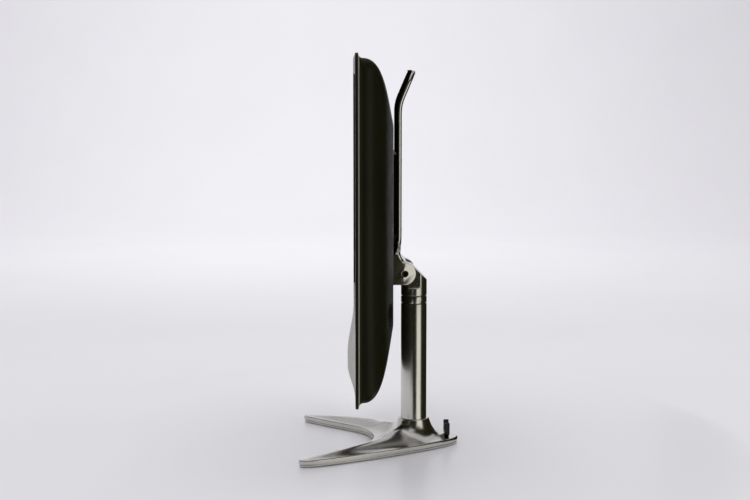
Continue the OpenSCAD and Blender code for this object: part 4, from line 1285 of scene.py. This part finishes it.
@dataclass
class RearShell(PanelShell):
    """Domed rear cover with its vents, ports, screws, keys and sockets.

    Attributes:
        back: Depth of the flat back.
        back_rim: Width of the border that is kept round the flat back.
        wall: Thickness of the cover.
        draw: How far the dome draws in from the seam to the back.
        dome: Points of the dome's curve, as shares of its depth and its draw.
        dome_steps: Steps of the dome.
        corner: Radius of the corners at the seam.
        lip: Rounding of the openings' edges.
        lip_steps: Steps of that rounding.
        lip_limit: Smallest angle in degrees that counts as such an edge.
        cut_depth: How far a cutter reaches in from the back.
        cut_over: How far it stands out.
        port: Place of a bass port, across and up.
        port_radius: Radius of its opening.
        port_depth: How far the port's cutter reaches in.
        port_length: Length of that cutter.
        window_low: Lower corner of the sockets' opening, across and up.
        window_high: Its upper corner.
        window_corner: Radius of its corners.
        window_steps: Segments of such a corner.
        vent_x: Place of the innermost vent across.
        vent_step: Distance of the vents.
        vent_count: Vents on each side.
        vent_span: Lower and upper end of a vent.
        vent_half: Half a vent's width.
        vent_corner: Rounding of its ends.
        vent_steps: Segments of such an end.
        screw_x: Place of the cover screws across.
        screw_z: Their heights.
        screw_bore: Radius and height of a screw hole's rings, from the back.
        screw_form: Radius and height of a screw's rings, from the back.
        screw_sides: Sides of a screw.
        screw_slot: Half the length and half the width of the cross recess.
        slot_depth: Depth of the recess.
        screw_shading: Largest angle in degrees that is shaded smooth on a screw.
        keys: The keys from the lowest one up.
        key_y: Depth of the keys.
        key_low: Height of the lowest key.
        key_step: Distance of the keys.
        key_hole: Radius of a key's hole.
        key_hole_depth: Length of that hole's cutter.
        key_sides: Sides of that hole.
        jacks: Name, place across and colour of the phono sockets' rings.
        jack_z: Height of these sockets.
        jack_form: Radius and height of a ring's rings.
        jack_sides: Sides of a ring.
        jack_roughness: Roughness of a ring.
    """

    back: float = 13.5
    back_rim: float = 4.0
    wall: float = 2.5
    draw: float = 80.0
    dome: tuple[Pair, ...] = ((0.0, 0.0), (0.6, 0.0), (0.75, 0.43), (1.0, 1.0))
    dome_steps: int = 40
    corner: float = 11.6
    lip: float = 0.35
    lip_steps: int = 2
    lip_limit: float = 55.0
    cut_depth: float = 8.0
    cut_over: float = 2.0
    port: Pair = (165.5, 203.5)
    port_radius: float = 16.5
    port_depth: float = 14.0
    port_length: float = 20.0
    window_low: Pair = (-128.0, 221.0)
    window_high: Pair = (-54.0, 243.0)
    window_corner: float = 2.0
    window_steps: int = 4
    vent_x: float = 77.0
    vent_step: float = 9.0
    vent_count: int = 8
    vent_span: Pair = (392.0, 418.0)
    vent_half: float = 1.5
    vent_corner: float = 1.45
    vent_steps: int = 5
    screw_x: float = 138.0
    screw_z: Pair = (229.0, 426.0)
    screw_bore: tuple[Pair, ...] = ((1.7, -6.0), (1.7, -1.2), (3.2, -1.2), (3.2, 2.0))
    screw_form: tuple[Pair, ...] = ((1.5, -11.5), (1.5, -1.2), (2.95, -1.2), (3.0, -0.9), (2.9, -0.5),
                                    (2.5, -0.05), (1.8, 0.17), (0.6, 0.2))
    screw_sides: int = 40
    screw_slot: Pair = (1.5, 0.25)
    slot_depth: float = 0.9
    screw_shading: float = 40.0
    keys: tuple[str, ...] = ("volume_down_key", "volume_up_key", "channel_down_key", "channel_up_key",
                             "input_key", "power_key")
    key_y: float = -20.0
    key_low: float = 285.0
    key_step: float = 18.0
    key_hole: float = 3.8
    key_hole_depth: float = 18.0
    key_sides: int = 48
    jacks: tuple[tuple[str, float, Colour], ...] = (
        ("yellow", -106.0, (0.75, 0.5, 0.02)),
        ("white", -91.0, (0.75, 0.75, 0.72)),
        ("red", -76.0, (0.55, 0.02, 0.02)),
    )
    jack_z: float = 232.0
    jack_form: tuple[Pair, ...] = ((4.25, 0.0), (6.0, 0.0), (6.0, 0.9), (5.7, 1.2), (4.5, 1.2),
                                   (4.25, 0.95))
    jack_sides: int = 48
    jack_roughness: float = 0.3

    def build(self) -> None:
        """Builds the cover and the pieces on it."""
        self.cover()
        self.refine("bass_ports", edge=0.5)
        self.cover_screws()
        for key in self.keys:
            self.refine(key, edge=0.7, segments=4, body=key)
        for node in ("av_sockets", "antenna_socket", "power_inlet"):
            self.refine(node, edge=0.3, segments=2)
        self.jack_rings()

    def dome_rings(self) -> list[Pair]:
        """Rings of the cover, from the seam to the flat back.

        Returns:
            How far each ring is drawn in, and its depth.
        """
        rings = []
        for i in range(self.dome_steps + 1):
            weights = bezier_weights(i / self.dome_steps)
            depth, drawn = (sum(w * p[axis] for w, p in zip(weights, self.dome)) for axis in (0, 1))
            rings.append((self.proud + self.draw * drawn, self.seam + (self.back - self.seam) * depth))
        return rings

    def screw_places(self) -> list[Pair]:
        """Places of the cover screws, across and up."""
        return [(x, z) for x in (self.screw_x, -self.screw_x) for z in self.screw_z]

    def opening(self, low: Pair, high: Pair, corner: float, steps: int) -> bpy.types.Object:
        """Cutter of an opening in the flat back.

        Args:
            low: Lower corner, across and up.
            high: Upper corner.
            corner: Radius of the corners.
            steps: Segments of a corner.

        Returns:
            The cutter.
        """
        inner, outer = self.back - self.cut_depth, self.back + self.cut_over
        return block((low[0], inner, low[1]), (high[0], outer, high[1]), corner, steps)

    def openings(self) -> list[bpy.types.Object]:
        """Cutters of the vents, the ports, the sockets' opening, the screw holes and the key holes.

        Returns:
            The cutters.
        """
        tools = []
        port_x, port_z = self.port
        low, high = self.vent_span
        for s in (-1, 1):
            for i in range(self.vent_count):
                x = s * (self.vent_x + i * self.vent_step)
                tools.append(self.opening((x - self.vent_half, low), (x + self.vent_half, high),
                                          self.vent_corner, self.vent_steps))
            tools.append(bar((s * port_x, self.back - self.port_depth, port_z), self.port_radius,
                             self.port_length, Axis.Y))
        tools.append(self.opening(self.window_low, self.window_high, self.window_corner, self.window_steps))
        for x, z in self.screw_places():
            tools.append(turned("bore", self.screw_bore, (x, self.back, z), Axis.Y, self.screw_sides,
                                hollow=False))
        for i in range(len(self.keys)):
            z = self.key_low + i * self.key_step
            tools.append(bar((-self.half[0], self.key_y, z), self.key_hole, self.key_hole_depth, Axis.X,
                             self.key_sides))
        return tools

    def at_seam(self, face: bmesh.types.BMFace) -> bool:
        """Whether a face closes the cover at the seam."""
        return face.calc_center_median().y < self.seam * MM + SLACK and abs(face.normal.y) > FACING

    def at_back(self, face: bmesh.types.BMFace) -> bool:
        """Whether a face is the flat back."""
        return face.calc_center_median().y > self.back * MM - SLACK

    def cover(self) -> None:
        """Domed shell with its openings."""
        size = (2 * (self.half[0] - self.proud), 2 * (self.half[1] - self.proud))
        obj = rounded_sheet("cover", size, self.seam, self.mid, self.corner, self.corner_steps)
        draw_out(obj, self.dome_rings(), self.half, self.mid)
        with edit(obj):
            pick_faces(obj, self.at_seam)
            bpy.ops.mesh.delete(type="ONLY_FACE")
            pick_faces(obj, self.at_back)
            bpy.ops.mesh.inset(thickness=self.back_rim * MM)
        apply_modifier(obj, "SOLIDIFY", thickness=self.wall * MM, offset=-1, use_even_offset=True)
        cut(obj, self.openings())
        apply_modifier(obj, "BEVEL", width=self.lip * MM, segments=self.lip_steps, limit_method="ANGLE",
                       angle_limit=math.radians(self.lip_limit), use_clamp_overlap=True)
        even_out(obj, self.shading)
        self.seat(obj, "shell", "rear_cover")

    def cover_screws(self) -> None:
        """Pan-head screws with a cross recess."""
        first = turned("cover_screw", self.screw_form, (0, self.back, 0), Axis.Y, self.screw_sides,
                       hollow=False)
        inner, outer = self.back - self.slot_depth, self.back + self.cut_over
        for x, z in (self.screw_slot, self.screw_slot[::-1]):
            cut(first, [block((-x, inner, -z), (x, outer, z))])
        copies = []
        for x, z in self.screw_places():
            piece = new_object("cover_screw_copy", first.data.copy())
            piece.data.transform(Matrix.Translation((x * MM, 0, z * MM)))
            copies.append(piece)
        bpy.data.objects.remove(first)
        obj = join("cover_screw_set", copies)
        smooth(obj, self.screw_shading)
        self.seat(obj, "dark_steel", "cover_screws")

    def jack_rings(self) -> None:
        """Coloured rings round the phono sockets."""
        for name, x, colour in self.jacks:
            place = (x, self.back - self.wall, self.jack_z)
            obj = turned("jack_ring_" + name, self.jack_form, place, Axis.Y, self.jack_sides)
            self.seat(obj, "socket_cream")
            finish = MouldedPlastic("jack_" + name, colour, self.jack_roughness)
            obj.data.materials.clear()
            obj.data.materials.append(finish.material())


@dataclass
class Bracket(SubAssembly):
    """Bracket plate with its handle and yoke, its screws and the pivot pin.

    Attributes:
        rear_round: Rounding of the outline towards the rear.
        rear_steps: Steps of that rounding.
        edge: Rounding of the other edges.
        yoke: Heights between which the yoke's sides are rounded.
        yoke_side: Place across beyond which an edge is one of the yoke's sides.
        plate_side: Place across beyond which an edge is one of the plate's sides.
        handle_top: Height above which an edge is the handle's end.
        rear_facing: Least part of a rear face's normal along Y.
        side_facing: Least part of a yoke side's normal along X.
        outline_facing: Greatest part of an outline face's normal along Y.
    """

    rear_round: float = 3.6
    rear_steps: int = 8
    edge: float = 0.6
    yoke: Pair = (253.0, 270.0)
    yoke_side: float = 20.0
    plate_side: float = 60.0
    handle_top: float = 490.0
    rear_facing: float = 0.5
    side_facing: float = 0.8
    outline_facing: float = 0.48

    def build(self) -> None:
        """Builds the bracket, its screws, its pad and its pin."""
        self.spine()
        self.refine("pivot_pin", edge=0.5)
        self.refine("mount_pad", edge=0.8)
        self.refine("spine_screws", edge=0.35)

    def spine(self) -> None:
        """Bracket plate, with its outline rounded off towards the rear."""
        obj = copy_of("spine", "spine_finished", self.frame["nodes"])
        with edit(obj):
            pick_edges(obj, self.outer_rear)
            bpy.ops.mesh.bevel(offset=self.rear_round * MM, segments=self.rear_steps, affect="EDGES",
                               clamp_overlap=False)
        soften(obj, self.edge)
        self.seat(obj, "bracket_nickel", "spine")

    def outer_rear(self, edge: bmesh.types.BMEdge) -> bool:
        """Whether an edge lies between the plate's rear face and its outline.

        Args:
            edge: The edge.

        Returns:
            True for the outline of plate and handle, and for the yoke's sides above the ears.
        """
        middle = (edge.verts[0].co + edge.verts[1].co) / 2
        x, z = abs(middle.x) / MM, middle.z / MM
        normals = [face.normal for face in edge.link_faces]
        if not any(n.y > self.rear_facing for n in normals):
            return False
        low, high = self.yoke
        if z < high:
            return z > low and x > self.yoke_side and any(abs(n.x) > self.side_facing for n in normals)
        outer = x > self.plate_side or z > self.handle_top
        return outer and any(abs(n.y) < self.outline_facing for n in normals)


@dataclass
class TiltHead(SubAssembly):
    """Head casting that carries the yoke and turns on the column."""

    body: Body = Body.HEAD

    def build(self) -> None:
        """Builds the head."""
        self.refine("swivel_head", edge=0.8, limit=30.0)


@dataclass
class Column(SubAssembly):
    """Column tube and the swivel ring above it.

    Attributes:
        radius: Radius of both.
        bore: Radius of the tube's bore.
        tube: Lower and upper end of the tube.
        ring_bore: Radius of the ring's bore.
        ring: Lower and upper end of the ring.
        edge: Rounding of the edges.
        edge_mid: How far the middle of the rounding lies from the corner.
        sides: Sides of both.
    """

    body: Body = Body.STAND
    radius: float = 17.3
    bore: float = 14.3
    tube: Pair = (8.0, 193.0)
    ring_bore: float = 8.05
    ring: Pair = (194.0, 203.0)
    edge: float = 0.5
    edge_mid: float = 0.15
    sides: int = 160

    def build(self) -> None:
        """Builds the tube and the ring."""
        low, high = self.tube
        tube = [(self.bore, low), (self.radius, low), *self.rounded(high, -1), (self.bore, high)]
        self.make("tube", tube, "column_tube")
        low, high = self.ring
        ring = [(self.ring_bore, low), *reversed(self.rounded(low, 1)), *self.rounded(high, -1),
                (self.ring_bore, high)]
        self.make("ring", ring, "swivel_ring")

    def rounded(self, z: float, side: int) -> list[Pair]:
        """Rounding of an outer edge.

        Args:
            z: Height of the end.
            side: Whether the piece lies above the end, 1, or below it, -1.

        Returns:
            Radius and height of the rounding's rings, from the wall to the end.
        """
        r, e, m = self.radius, self.edge, self.edge_mid
        return [(r, z + side * e), (r - m, z + side * m), (r - e, z)]

    def make(self, name: str, profile: Sequence[Pair], node: str) -> None:
        """Turns a piece on the column's axis and seats it."""
        obj = turned(name, profile, (0, COLUMN_Y, 0), segments=self.sides)
        self.seat(obj, "satin_nickel", node)


@dataclass(frozen=True)
class Knot:
    """A point of an outline, where the curve has a direction.

    Attributes:
        place: Where it is.
        along: Direction of the curve, as long as its handles.
        before: Factor for the handle before it.
        after: Factor for the handle after it.
    """

    place: Pair
    along: Pair
    before: float = 1.0
    after: float = 1.0

    def handle(self, factor: float) -> Vector:
        """A point on the curve's direction through the knot."""
        return Vector(self.place) + factor * Vector(self.along)


@dataclass
class Foot(SubAssembly):
    """Two-legged foot casting with its collar, the plate below it and the cable clip.

    Places are measured from the column's axis.

    Attributes:
        reach: Place of a leg's tip across.
        front: How far the tips lie in front.
        rear: How far the foot reaches to the rear.
        fork: How far the fork lies in front.
        fork_side: Where the fork turns into the leg, across and in front of the fork.
        tip_inside: The tip's inner shoulder, from the reach and the front.
        tip_end: The tip's end, from the reach.
        tip_outside: The tip's outer shoulder, from the reach and the front.
        shoulder: Where the outer side turns to the rear, from the reach and the axis.
        around: Steps of each curve of the outline.
        low: Height of the casting's underside.
        edge: Height of the casting's edge.
        edge_round: Width of the rounding at that edge.
        edge_drop: How far below the edge the rounding ends.
        edge_steps: Steps of the rounding.
        hem: Draw and height above the underside of the lower edge's rings.
        collar: Outer radius of the collar.
        collar_top: Its height.
        bore: Radius of its bore.
        mouth: Way out from the bore and down from the top of the bore's edge.
        brim: Way in from the collar's radius and down from the top of its outer edge.
        flare: Length over which the collar's flare dies out.
        crown: Height of the top's crown, and the distance from the edge that it takes.
        ridge: Height of a leg's ridge, and the distance from the edge that it takes.
        ridge_turn: Direction of the ridge in degrees from the front.
        ridge_spread: Its width in degrees.
        fade: Distance at which the ridge has died out, and the power of its fall.
        radial: Rings from the collar to the edge.
        crowding: How much the rings crowd towards the collar.
        evening: How often each ring's heights are evened.
        sole_hole: Radius of the plate's hole.
        sole: Draw and height of the plate's rings, but for the last.
        shading: Largest angle in degrees that is shaded smooth.
    """

    body: Body = Body.STAND
    reach: float = 124.0
    front: float = 152.0
    rear: float = 60.0
    fork: float = 54.0
    fork_side: Pair = (44.0, 14.5)
    tip_inside: Pair = (26.0, 21.0)
    tip_end: float = 5.0
    tip_outside: Pair = (0.5, 14.0)
    shoulder: Pair = (60.0, 14.0)
    around: int = 18
    low: float = 4.2
    edge: float = 10.0
    edge_round: float = 1.6
    edge_drop: float = 1.5
    edge_steps: int = 8
    hem: tuple[Pair, ...] = ((0.0, 0.6), (0.18, 0.18), (0.6, 0.0))
    collar: float = 20.6
    collar_top: float = 36.0
    bore: float = 17.35
    mouth: tuple[Pair, ...] = ((0.0, 0.4), (0.3, 0.05), (0.6, 0.0))
    brim: tuple[Pair, ...] = ((0.9, 0.0), (0.4, 0.12), (0.1, 0.45))
    flare: float = 6.5
    crown: Pair = (1.0, 12.0)
    ridge: Pair = (11.5, 15.0)
    ridge_turn: float = 42.0
    ridge_spread: float = 28.0
    fade: Pair = (215.0, 2.2)
    radial: int = 44
    crowding: float = 1.5
    evening: int = 14
    sole_hole: float = 7.5
    sole: tuple[Pair, ...] = ((1.4, 1.0), (1.0, 1.15), (0.8, 1.5), (0.8, 3.0), (1.1, 3.35), (2.2, 3.4))
    shading: float = 40.0

    def build(self) -> None:
        """Builds the casting, the plate and the clip."""
        path = self.outline()
        self.casting(path)
        self.plate(path)
        self.refine("cable_clip", edge=0.9, segments=4)

    def knots(self) -> list[Knot]:
        """Knots of half the outline, from the fork round the leg to the rear.

        Returns:
            The knots.
        """
        fork_x, fork_y = self.fork_side
        inside_x, inside_y = self.tip_inside
        outside_x, outside_y = self.tip_outside
        shoulder_x, shoulder_y = self.shoulder
        return [
            Knot((0, -self.fork), (14, 0)),
            Knot((fork_x, -self.fork - fork_y), (11, -9), after=1.75),
            Knot((self.reach - inside_x, inside_y - self.front), (8.5, -9), before=2.25),
            Knot((self.reach - self.tip_end, -self.front), (5, 0)),
            Knot((self.reach - outside_x, outside_y - self.front), (-0.6, 9), after=2),
            Knot((self.reach - shoulder_x, -shoulder_y), (-19, 31), after=1.75),
            Knot((0, self.rear), (-14, 0)),
        ]

    def outline(self) -> list[Vector]:
        """Outline of the foot, seen anticlockwise from above.

        Returns:
            Its points.
        """
        knots = self.knots()
        half = []
        for start, end in zip(knots, knots[1:]):
            points = (start.handle(0), start.handle(start.after), end.handle(-end.before), end.handle(0))
            for i in range(self.around):
                a, b, c, d = (w * p for w, p in zip(bezier_weights(i / self.around), points))
                half.append(a + b + c + d)
        return [*half, Vector(knots[-1].place), *(Vector((-p.x, p.y)) for p in reversed(half[1:]))]

    @staticmethod
    def drawn_in(path: Sequence[Vector], distance: float) -> list[Vector]:
        """An outline moved inwards along its own normals.

        Args:
            path: The outline.
            distance: How far it moves.

        Returns:
            The moved outline.
        """
        moved = []
        for i, point in enumerate(path):
            along = (path[(i + 1) % len(path)] - path[i - 1]).normalized()
            moved.append(point + distance * Vector((-along.y, along.x)))
        return moved

    @staticmethod
    def distance(place: Vector, path: Sequence[Vector]) -> float:
        """Distance of a place from an outline.

        Args:
            place: The place.
            path: The outline.

        Returns:
            The distance from the nearer of the two sides that meet at the nearest corner.
        """
        k = min(range(len(path)), key=lambda i: (place - path[i]).length_squared)
        near = []
        for end in (path[k - 1], path[(k + 1) % len(path)]):
            side = end - path[k]
            u = min(max((place - path[k]).dot(side) / side.length_squared, 0.0), 1.0)
            near.append((place - path[k] - u * side).length)
        return min(near)

    @staticmethod
    def lifted(path: Sequence[Vector], z: float) -> Ring:
        """An outline as a level ring."""
        return [(p.x, p.y, z) for p in path]

    def rise(self, place: Vector, path: Sequence[Vector]) -> float:
        """Height of the top above its edge, away from the collar.

        Args:
            place: The place.
            path: The foot's outline.

        Returns:
            The crown and the ridge of the leg together.
        """

        def swell(form: Pair) -> float:
            """Height of a form that rises from the edge."""
            return form[0] * (1 - math.exp(-(gap / form[1]) ** 2))

        gap = self.distance(place, path)
        reach, power = self.fade
        aside = (math.degrees(math.atan2(abs(place.x), -place.y)) - self.ridge_turn) / self.ridge_spread
        along = 1 - (place.length / reach) ** power
        return swell(self.crown) + swell(self.ridge) * along * math.exp(-aside * aside)

    def top_rings(self, path: Sequence[Vector]) -> list[Ring]:
        """Rings of the top from the collar out to the rounded edge, evened along each ring.

        Args:
            path: The foot's outline.

        Returns:
            The rings.
        """
        rings = []
        inner = self.drawn_in(path, self.edge_round)
        count = len(inner)
        for j in range(1, self.radial + 1):
            share = (j / self.radial) ** self.crowding
            row, levels = [], []
            for p in inner:
                start = self.collar * p.normalized()
                place = start + (p - start) * share
                horn = math.exp(-(place.length - self.collar) / self.flare)
                row.append(place)
                levels.append(self.edge + self.rise(place, path) * (1 - horn)
                              + (self.collar_top - self.edge) * horn)
            for _ in range(self.evening if j < self.radial else 0):
                levels = [(levels[k - 1] + 2 * levels[k] + levels[(k + 1) % count]) / 4
                          for k in range(count)]
            rings.append([(q.x, q.y, h) for q, h in zip(row, levels)])
        return rings

    def casting(self, path: Sequence[Vector]) -> None:
        """Casting with a flared collar and a rounded top edge.

        Args:
            path: The foot's outline.
        """
        spokes = [p.normalized() for p in path]
        collar = [(self.bore, self.low)]
        collar += [(self.bore + out, self.collar_top - down) for out, down in self.mouth]
        collar += [(self.collar - inwards, self.collar_top - down) for inwards, down in self.brim]
        rings = [self.lifted([radius * p for p in spokes], z) for radius, z in collar]
        rings += self.top_rings(path)
        shoulder = [p[2] for p in rings[-1]]
        start = self.edge - self.edge_drop
        for a in reversed(quarter(self.edge_steps)[:-1]):
            ring = self.drawn_in(path, self.edge_round * (1 - math.cos(a)))
            rings.append([(p.x, p.y, start + (h - start) * math.sin(a)) for p, h in zip(ring, shoulder)])
        for inset, up in self.hem:
            rings.append(self.lifted(self.drawn_in(path, inset), self.low + up))
        self.finish(loft("foot", rings), "foot_casting")

    def plate(self, path: Sequence[Vector]) -> None:
        """Plate under the casting, with rounded edges.

        Args:
            path: The foot's outline.
        """
        hole = [self.sole_hole * p.normalized() for p in path]
        rings = [self.lifted(hole, self.sole[0][1])]
        for inset, z in (*self.sole, (self.sole[-1][0], self.low)):
            rings.append(self.lifted(self.drawn_in(path, inset), z))
        rings.append(self.lifted(hole, self.low))
        self.finish(loft("sole", rings), "foot_plate")

    def finish(self, obj: bpy.types.Object, node: str) -> None:
        """Moves a piece to the column, shades it and seats it.

        Args:
            obj: The piece, round the origin.
            node: CAD node that it replaces.
        """
        obj.data.transform(TO_COLUMN)
        smooth(obj, self.shading)
        self.seat(obj, "satin_nickel", node)


# Studio, with sizes and places in metres


DARK = (0.014, 0.0137, 0.0045)
LIT = (0.97, 0.955, 0.87)
PALE = (1.0, 0.98, 0.95)


@dataclass(frozen=True)
class ReflectionCard:
    """A curved card round the column that only reflections on its inner side see.

    Attributes:
        name: Its name.
        angles: Where it starts and ends, in degrees from +X towards +Y.
        profile: Distance from the column and height of its edges and folds.
        glow: Its light.
        sides: Sides of a full turn.
        inside: A place that its inner side faces.
    """

    name: str
    angles: Pair
    profile: tuple[Pair, ...]
    glow: Colour = DARK
    sides: int = 180
    inside: tuple[float, float, float] = (0.0, COLUMN_Y * MM, 1.0)

    def build(self) -> None:
        """Makes the card and its light."""
        clear_selection()
        radius, low = self.profile[0]
        bpy.ops.mesh.primitive_circle_add(vertices=self.sides, radius=radius, location=(0, 0, low))
        obj = settle(self.name)
        with edit(obj):
            for (r, z), (r_next, z_next) in zip(self.profile, self.profile[1:]):
                scale = r_next / r
                next_ring((0, 0, z_next - z), (scale, scale, 1), (0, 0, z_next))
            pick_faces(obj, self.beyond)
            bpy.ops.mesh.delete(type="FACE")
        obj.data.transform(TO_COLUMN)
        first = obj.data.polygons[0]
        if first.normal.dot(Vector(self.inside) - first.center) < 0:
            obj.data.flip_normals()
        obj.data.materials.append(self.material())
        obj.visible_camera = obj.visible_diffuse = obj.visible_shadow = False

    def beyond(self, face: bmesh.types.BMFace) -> bool:
        """Whether a face lies beyond the card's angles.

        Args:
            face: The face.

        Returns:
            True where it isn't part of the card.
        """
        middle = face.calc_center_median()
        angle = math.degrees(math.atan2(middle.y, middle.x))
        return not any(self.angles[0] <= angle + turn <= self.angles[1] for turn in (0, 360))

    def material(self) -> bpy.types.Material:
        """Light on the inner side, and nothing on the outer one.

        Returns:
            The material.
        """
        g = Graph(self.name)
        g.set(Base_Color=(0, 0, 0, 1), Specular_IOR_Level=0.0, Emission_Color=(*self.glow, 1),
              Emission_Strength=1.0)
        behind = g.add("NewGeometry").outputs["Backfacing"]
        clear = g.add("BsdfTransparent").outputs["BSDF"]
        mix = g.add("MixShader", {0: behind, 1: g.shader.outputs["BSDF"], 2: clear})
        g.feed(g.tree.nodes["Material Output"].inputs["Surface"], mix.outputs["Shader"])
        return g.material


@dataclass(frozen=True)
class SoftLamp:
    """A square soft lamp that reflections don't see.

    Attributes:
        name: Its name.
        place: Where it hangs.
        aim: Direction that it shines in.
        size: Length of its sides.
        energy: Its power in watts.
    """

    name: str
    place: tuple[float, float, float]
    aim: tuple[float, float, float]
    size: float
    energy: float

    def build(self) -> None:
        """Hangs the lamp."""
        data = bpy.data.lights.new(self.name, "AREA")
        data.shape, data.size, data.energy = "SQUARE", self.size, self.energy
        obj = bpy.data.objects.new(self.name, data)
        obj.location = self.place
        obj.rotation_euler = Vector(self.aim).to_track_quat("-Z", "Y").to_euler()
        obj.visible_glossy = False
        bpy.context.scene.collection.objects.link(obj)


CARDS = (
    ReflectionCard("card_front", (-31.0, 23.0), ((2.1, 0.0), (2.1, 1.9))),
    ReflectionCard("card_near", (-10.0, 22.0), ((0.15, 0.002), (2.1, 0.002))),
    ReflectionCard("card_strip", (24.0, 59.0), ((0.15, 0.002), (1.3, 0.002), (1.3, 0.62)), LIT),
    ReflectionCard("card_over", (23.0, 61.0), ((1.28, 0.62), (1.28, 2.2))),
    ReflectionCard("card_rear", (61.0, 126.0), ((0.068, 0.002), (1.25, 0.002), (1.25, 2.2))),
    ReflectionCard("card_back", (126.0, 157.0), ((0.085, 0.002), (2.6, 0.002))),
    ReflectionCard("card_side", (126.0, 157.0), ((2.2, 0.002), (2.2, 1.6))),
    ReflectionCard("card_left", (-100.0, -35.0), ((1.5, 0.3), (1.5, 2.4))),
    ReflectionCard("card_high", (0.0, 360.0), ((0.05, 2.3), (0.35, 2.3)), PALE),
)
LAMPS = (
    SoftLamp("softbox", (-0.3, 0.0, 2.4), (0.0, 0.0, -1.0), size=2.4, energy=24.0),
    SoftLamp("wash", (-1.9, -0.2, 1.9), (-0.88, 0.0, -0.48), size=1.4, energy=17.5),
)


@dataclass
class Studio:
    """Pale sweep, soft light, cards that only reflections see, and the camera.

    Attributes:
        camera_place: Where the camera stands.
        camera_yaw: Its turn from -X towards +Y, in degrees.
        camera_pitch: How far it looks down, in degrees.
        lens: Its lens in millimetres.
        sensor: Width of its sensor in millimetres.
        sight: How far it sees.
        sky_colour: Colour of the light from all round.
        sky_strength: Strength of that light.
        floor_middle: Place of the floor's middle along X.
        floor_size: The floor's size along X and Y.
        floor_tones: Its darkest and lightest colours.
        floor_clouds: How fine these tones are.
        floor_roughness: Its lowest and highest roughness.
        floor_patches: How fine the patches of other roughness are.
        floor_gloss: Strength of its reflections near the stand.
        gloss_limits: Distances between which these reflections die out.
        floor_shading: Largest angle in degrees that is shaded smooth.
        bend: Radius of the sweep's bend.
        bend_steps: Steps of the bend.
        wall: Height of the sweep above its bend.
    """

    camera_place: tuple[float, float, float] = (1.867, -0.0436, 0.4926)
    camera_yaw: float = 1.146
    camera_pitch: float = 6.97
    lens: float = 67.5
    sensor: float = 36.0
    sight: float = 100.0
    sky_colour: Colour = (0.9, 0.89, 0.93)
    sky_strength: float = 0.64
    floor_middle: float = 1.0
    floor_size: Pair = (7.0, 14.0)
    floor_tones: tuple[Colour, Colour] = ((0.86, 0.855, 0.875), (0.875, 0.87, 0.89))
    floor_clouds: float = 3.0
    floor_roughness: Pair = (0.28, 0.32)
    floor_patches: float = 8.0
    floor_gloss: float = 0.25
    gloss_limits: Pair = (0.2, 0.5)
    floor_shading: float = 40.0
    bend: float = 1.6
    bend_steps: int = 16
    wall: float = 3.0

    def build(self) -> None:
        """Sets up the sweep, the light and the camera."""
        self.sky()
        self.sweep()
        for piece in (*CARDS, *LAMPS):
            piece.build()
        self.camera()
        bpy.context.scene.view_settings.view_transform = "Standard"

    def camera(self) -> None:
        """Camera square to the tv's side, from a little above."""
        yaw, pitch = math.radians(self.camera_yaw), math.radians(self.camera_pitch)
        level = math.cos(pitch)
        forward = Vector((-math.cos(yaw) * level, math.sin(yaw) * level, -math.sin(pitch)))
        data = bpy.data.cameras.new("camera")
        data.lens, data.sensor_width, data.clip_end = self.lens, self.sensor, self.sight
        obj = bpy.data.objects.new("camera", data)
        obj.location = self.camera_place
        obj.rotation_euler = forward.to_track_quat("-Z", "Y").to_euler()
        bpy.context.scene.collection.objects.link(obj)
        bpy.context.scene.camera = obj

    def sky(self) -> None:
        """Even pale light from all round."""
        world = bpy.data.worlds.new("studio")
        world.use_nodes = True
        shader = world.node_tree.nodes["Background"]
        shader.inputs["Color"].default_value = (*self.sky_colour, 1)
        shader.inputs["Strength"].default_value = self.sky_strength
        bpy.context.scene.world = world

    def sweep(self) -> None:
        """Floor that curves up behind the tv."""
        clear_selection()
        bpy.ops.mesh.primitive_plane_add(size=1, location=(self.floor_middle, 0, 0))
        bpy.context.object.scale = (*self.floor_size, 1)
        obj = settle("floor")
        far = self.floor_middle - self.floor_size[0] / 2
        with edit(obj):
            pick_edges(obj, lambda edge: all(end.co.x < far + SLACK for end in edge.verts))
            last = Vector((far, 0, 0))
            for a in quarter(self.bend_steps)[1:]:
                spot = Vector((far - self.bend * math.sin(a), 0, self.bend * (1 - math.cos(a))))
                extrude(spot - last)
                last = spot
            extrude((0, 0, self.wall))
        smooth(obj, self.floor_shading)
        obj.data.materials.append(self.floor_paint())

    def floor_paint(self) -> bpy.types.Material:
        """Pale paint with a soft gloss near the stand.

        Returns:
            The material.
        """
        g = Graph("pale_floor")
        away = g.add("VectorMath", {0: g.place}, operation="LENGTH").outputs["Value"]
        g.set(Base_Color=g.tone(g.noise(self.floor_clouds), *self.floor_tones),
              Roughness=g.spread(g.noise(self.floor_patches), *self.floor_roughness),
              Specular_IOR_Level=g.spread(away, self.floor_gloss, 0.0, self.gloss_limits))
        return g.material


def main() -> None:
    """Builds the tv round its frame, part by part."""
    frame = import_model()
    wardrobe = Wardrobe()
    wardrobe.fill()
    wardrobe.dress_nodes(frame)
    Studio().build()
    for group in (FrontFrame, RearShell, Bracket, TiltHead, Column, Foot):
        group(frame, wardrobe).build()


if __name__ == "__main__":
    main()
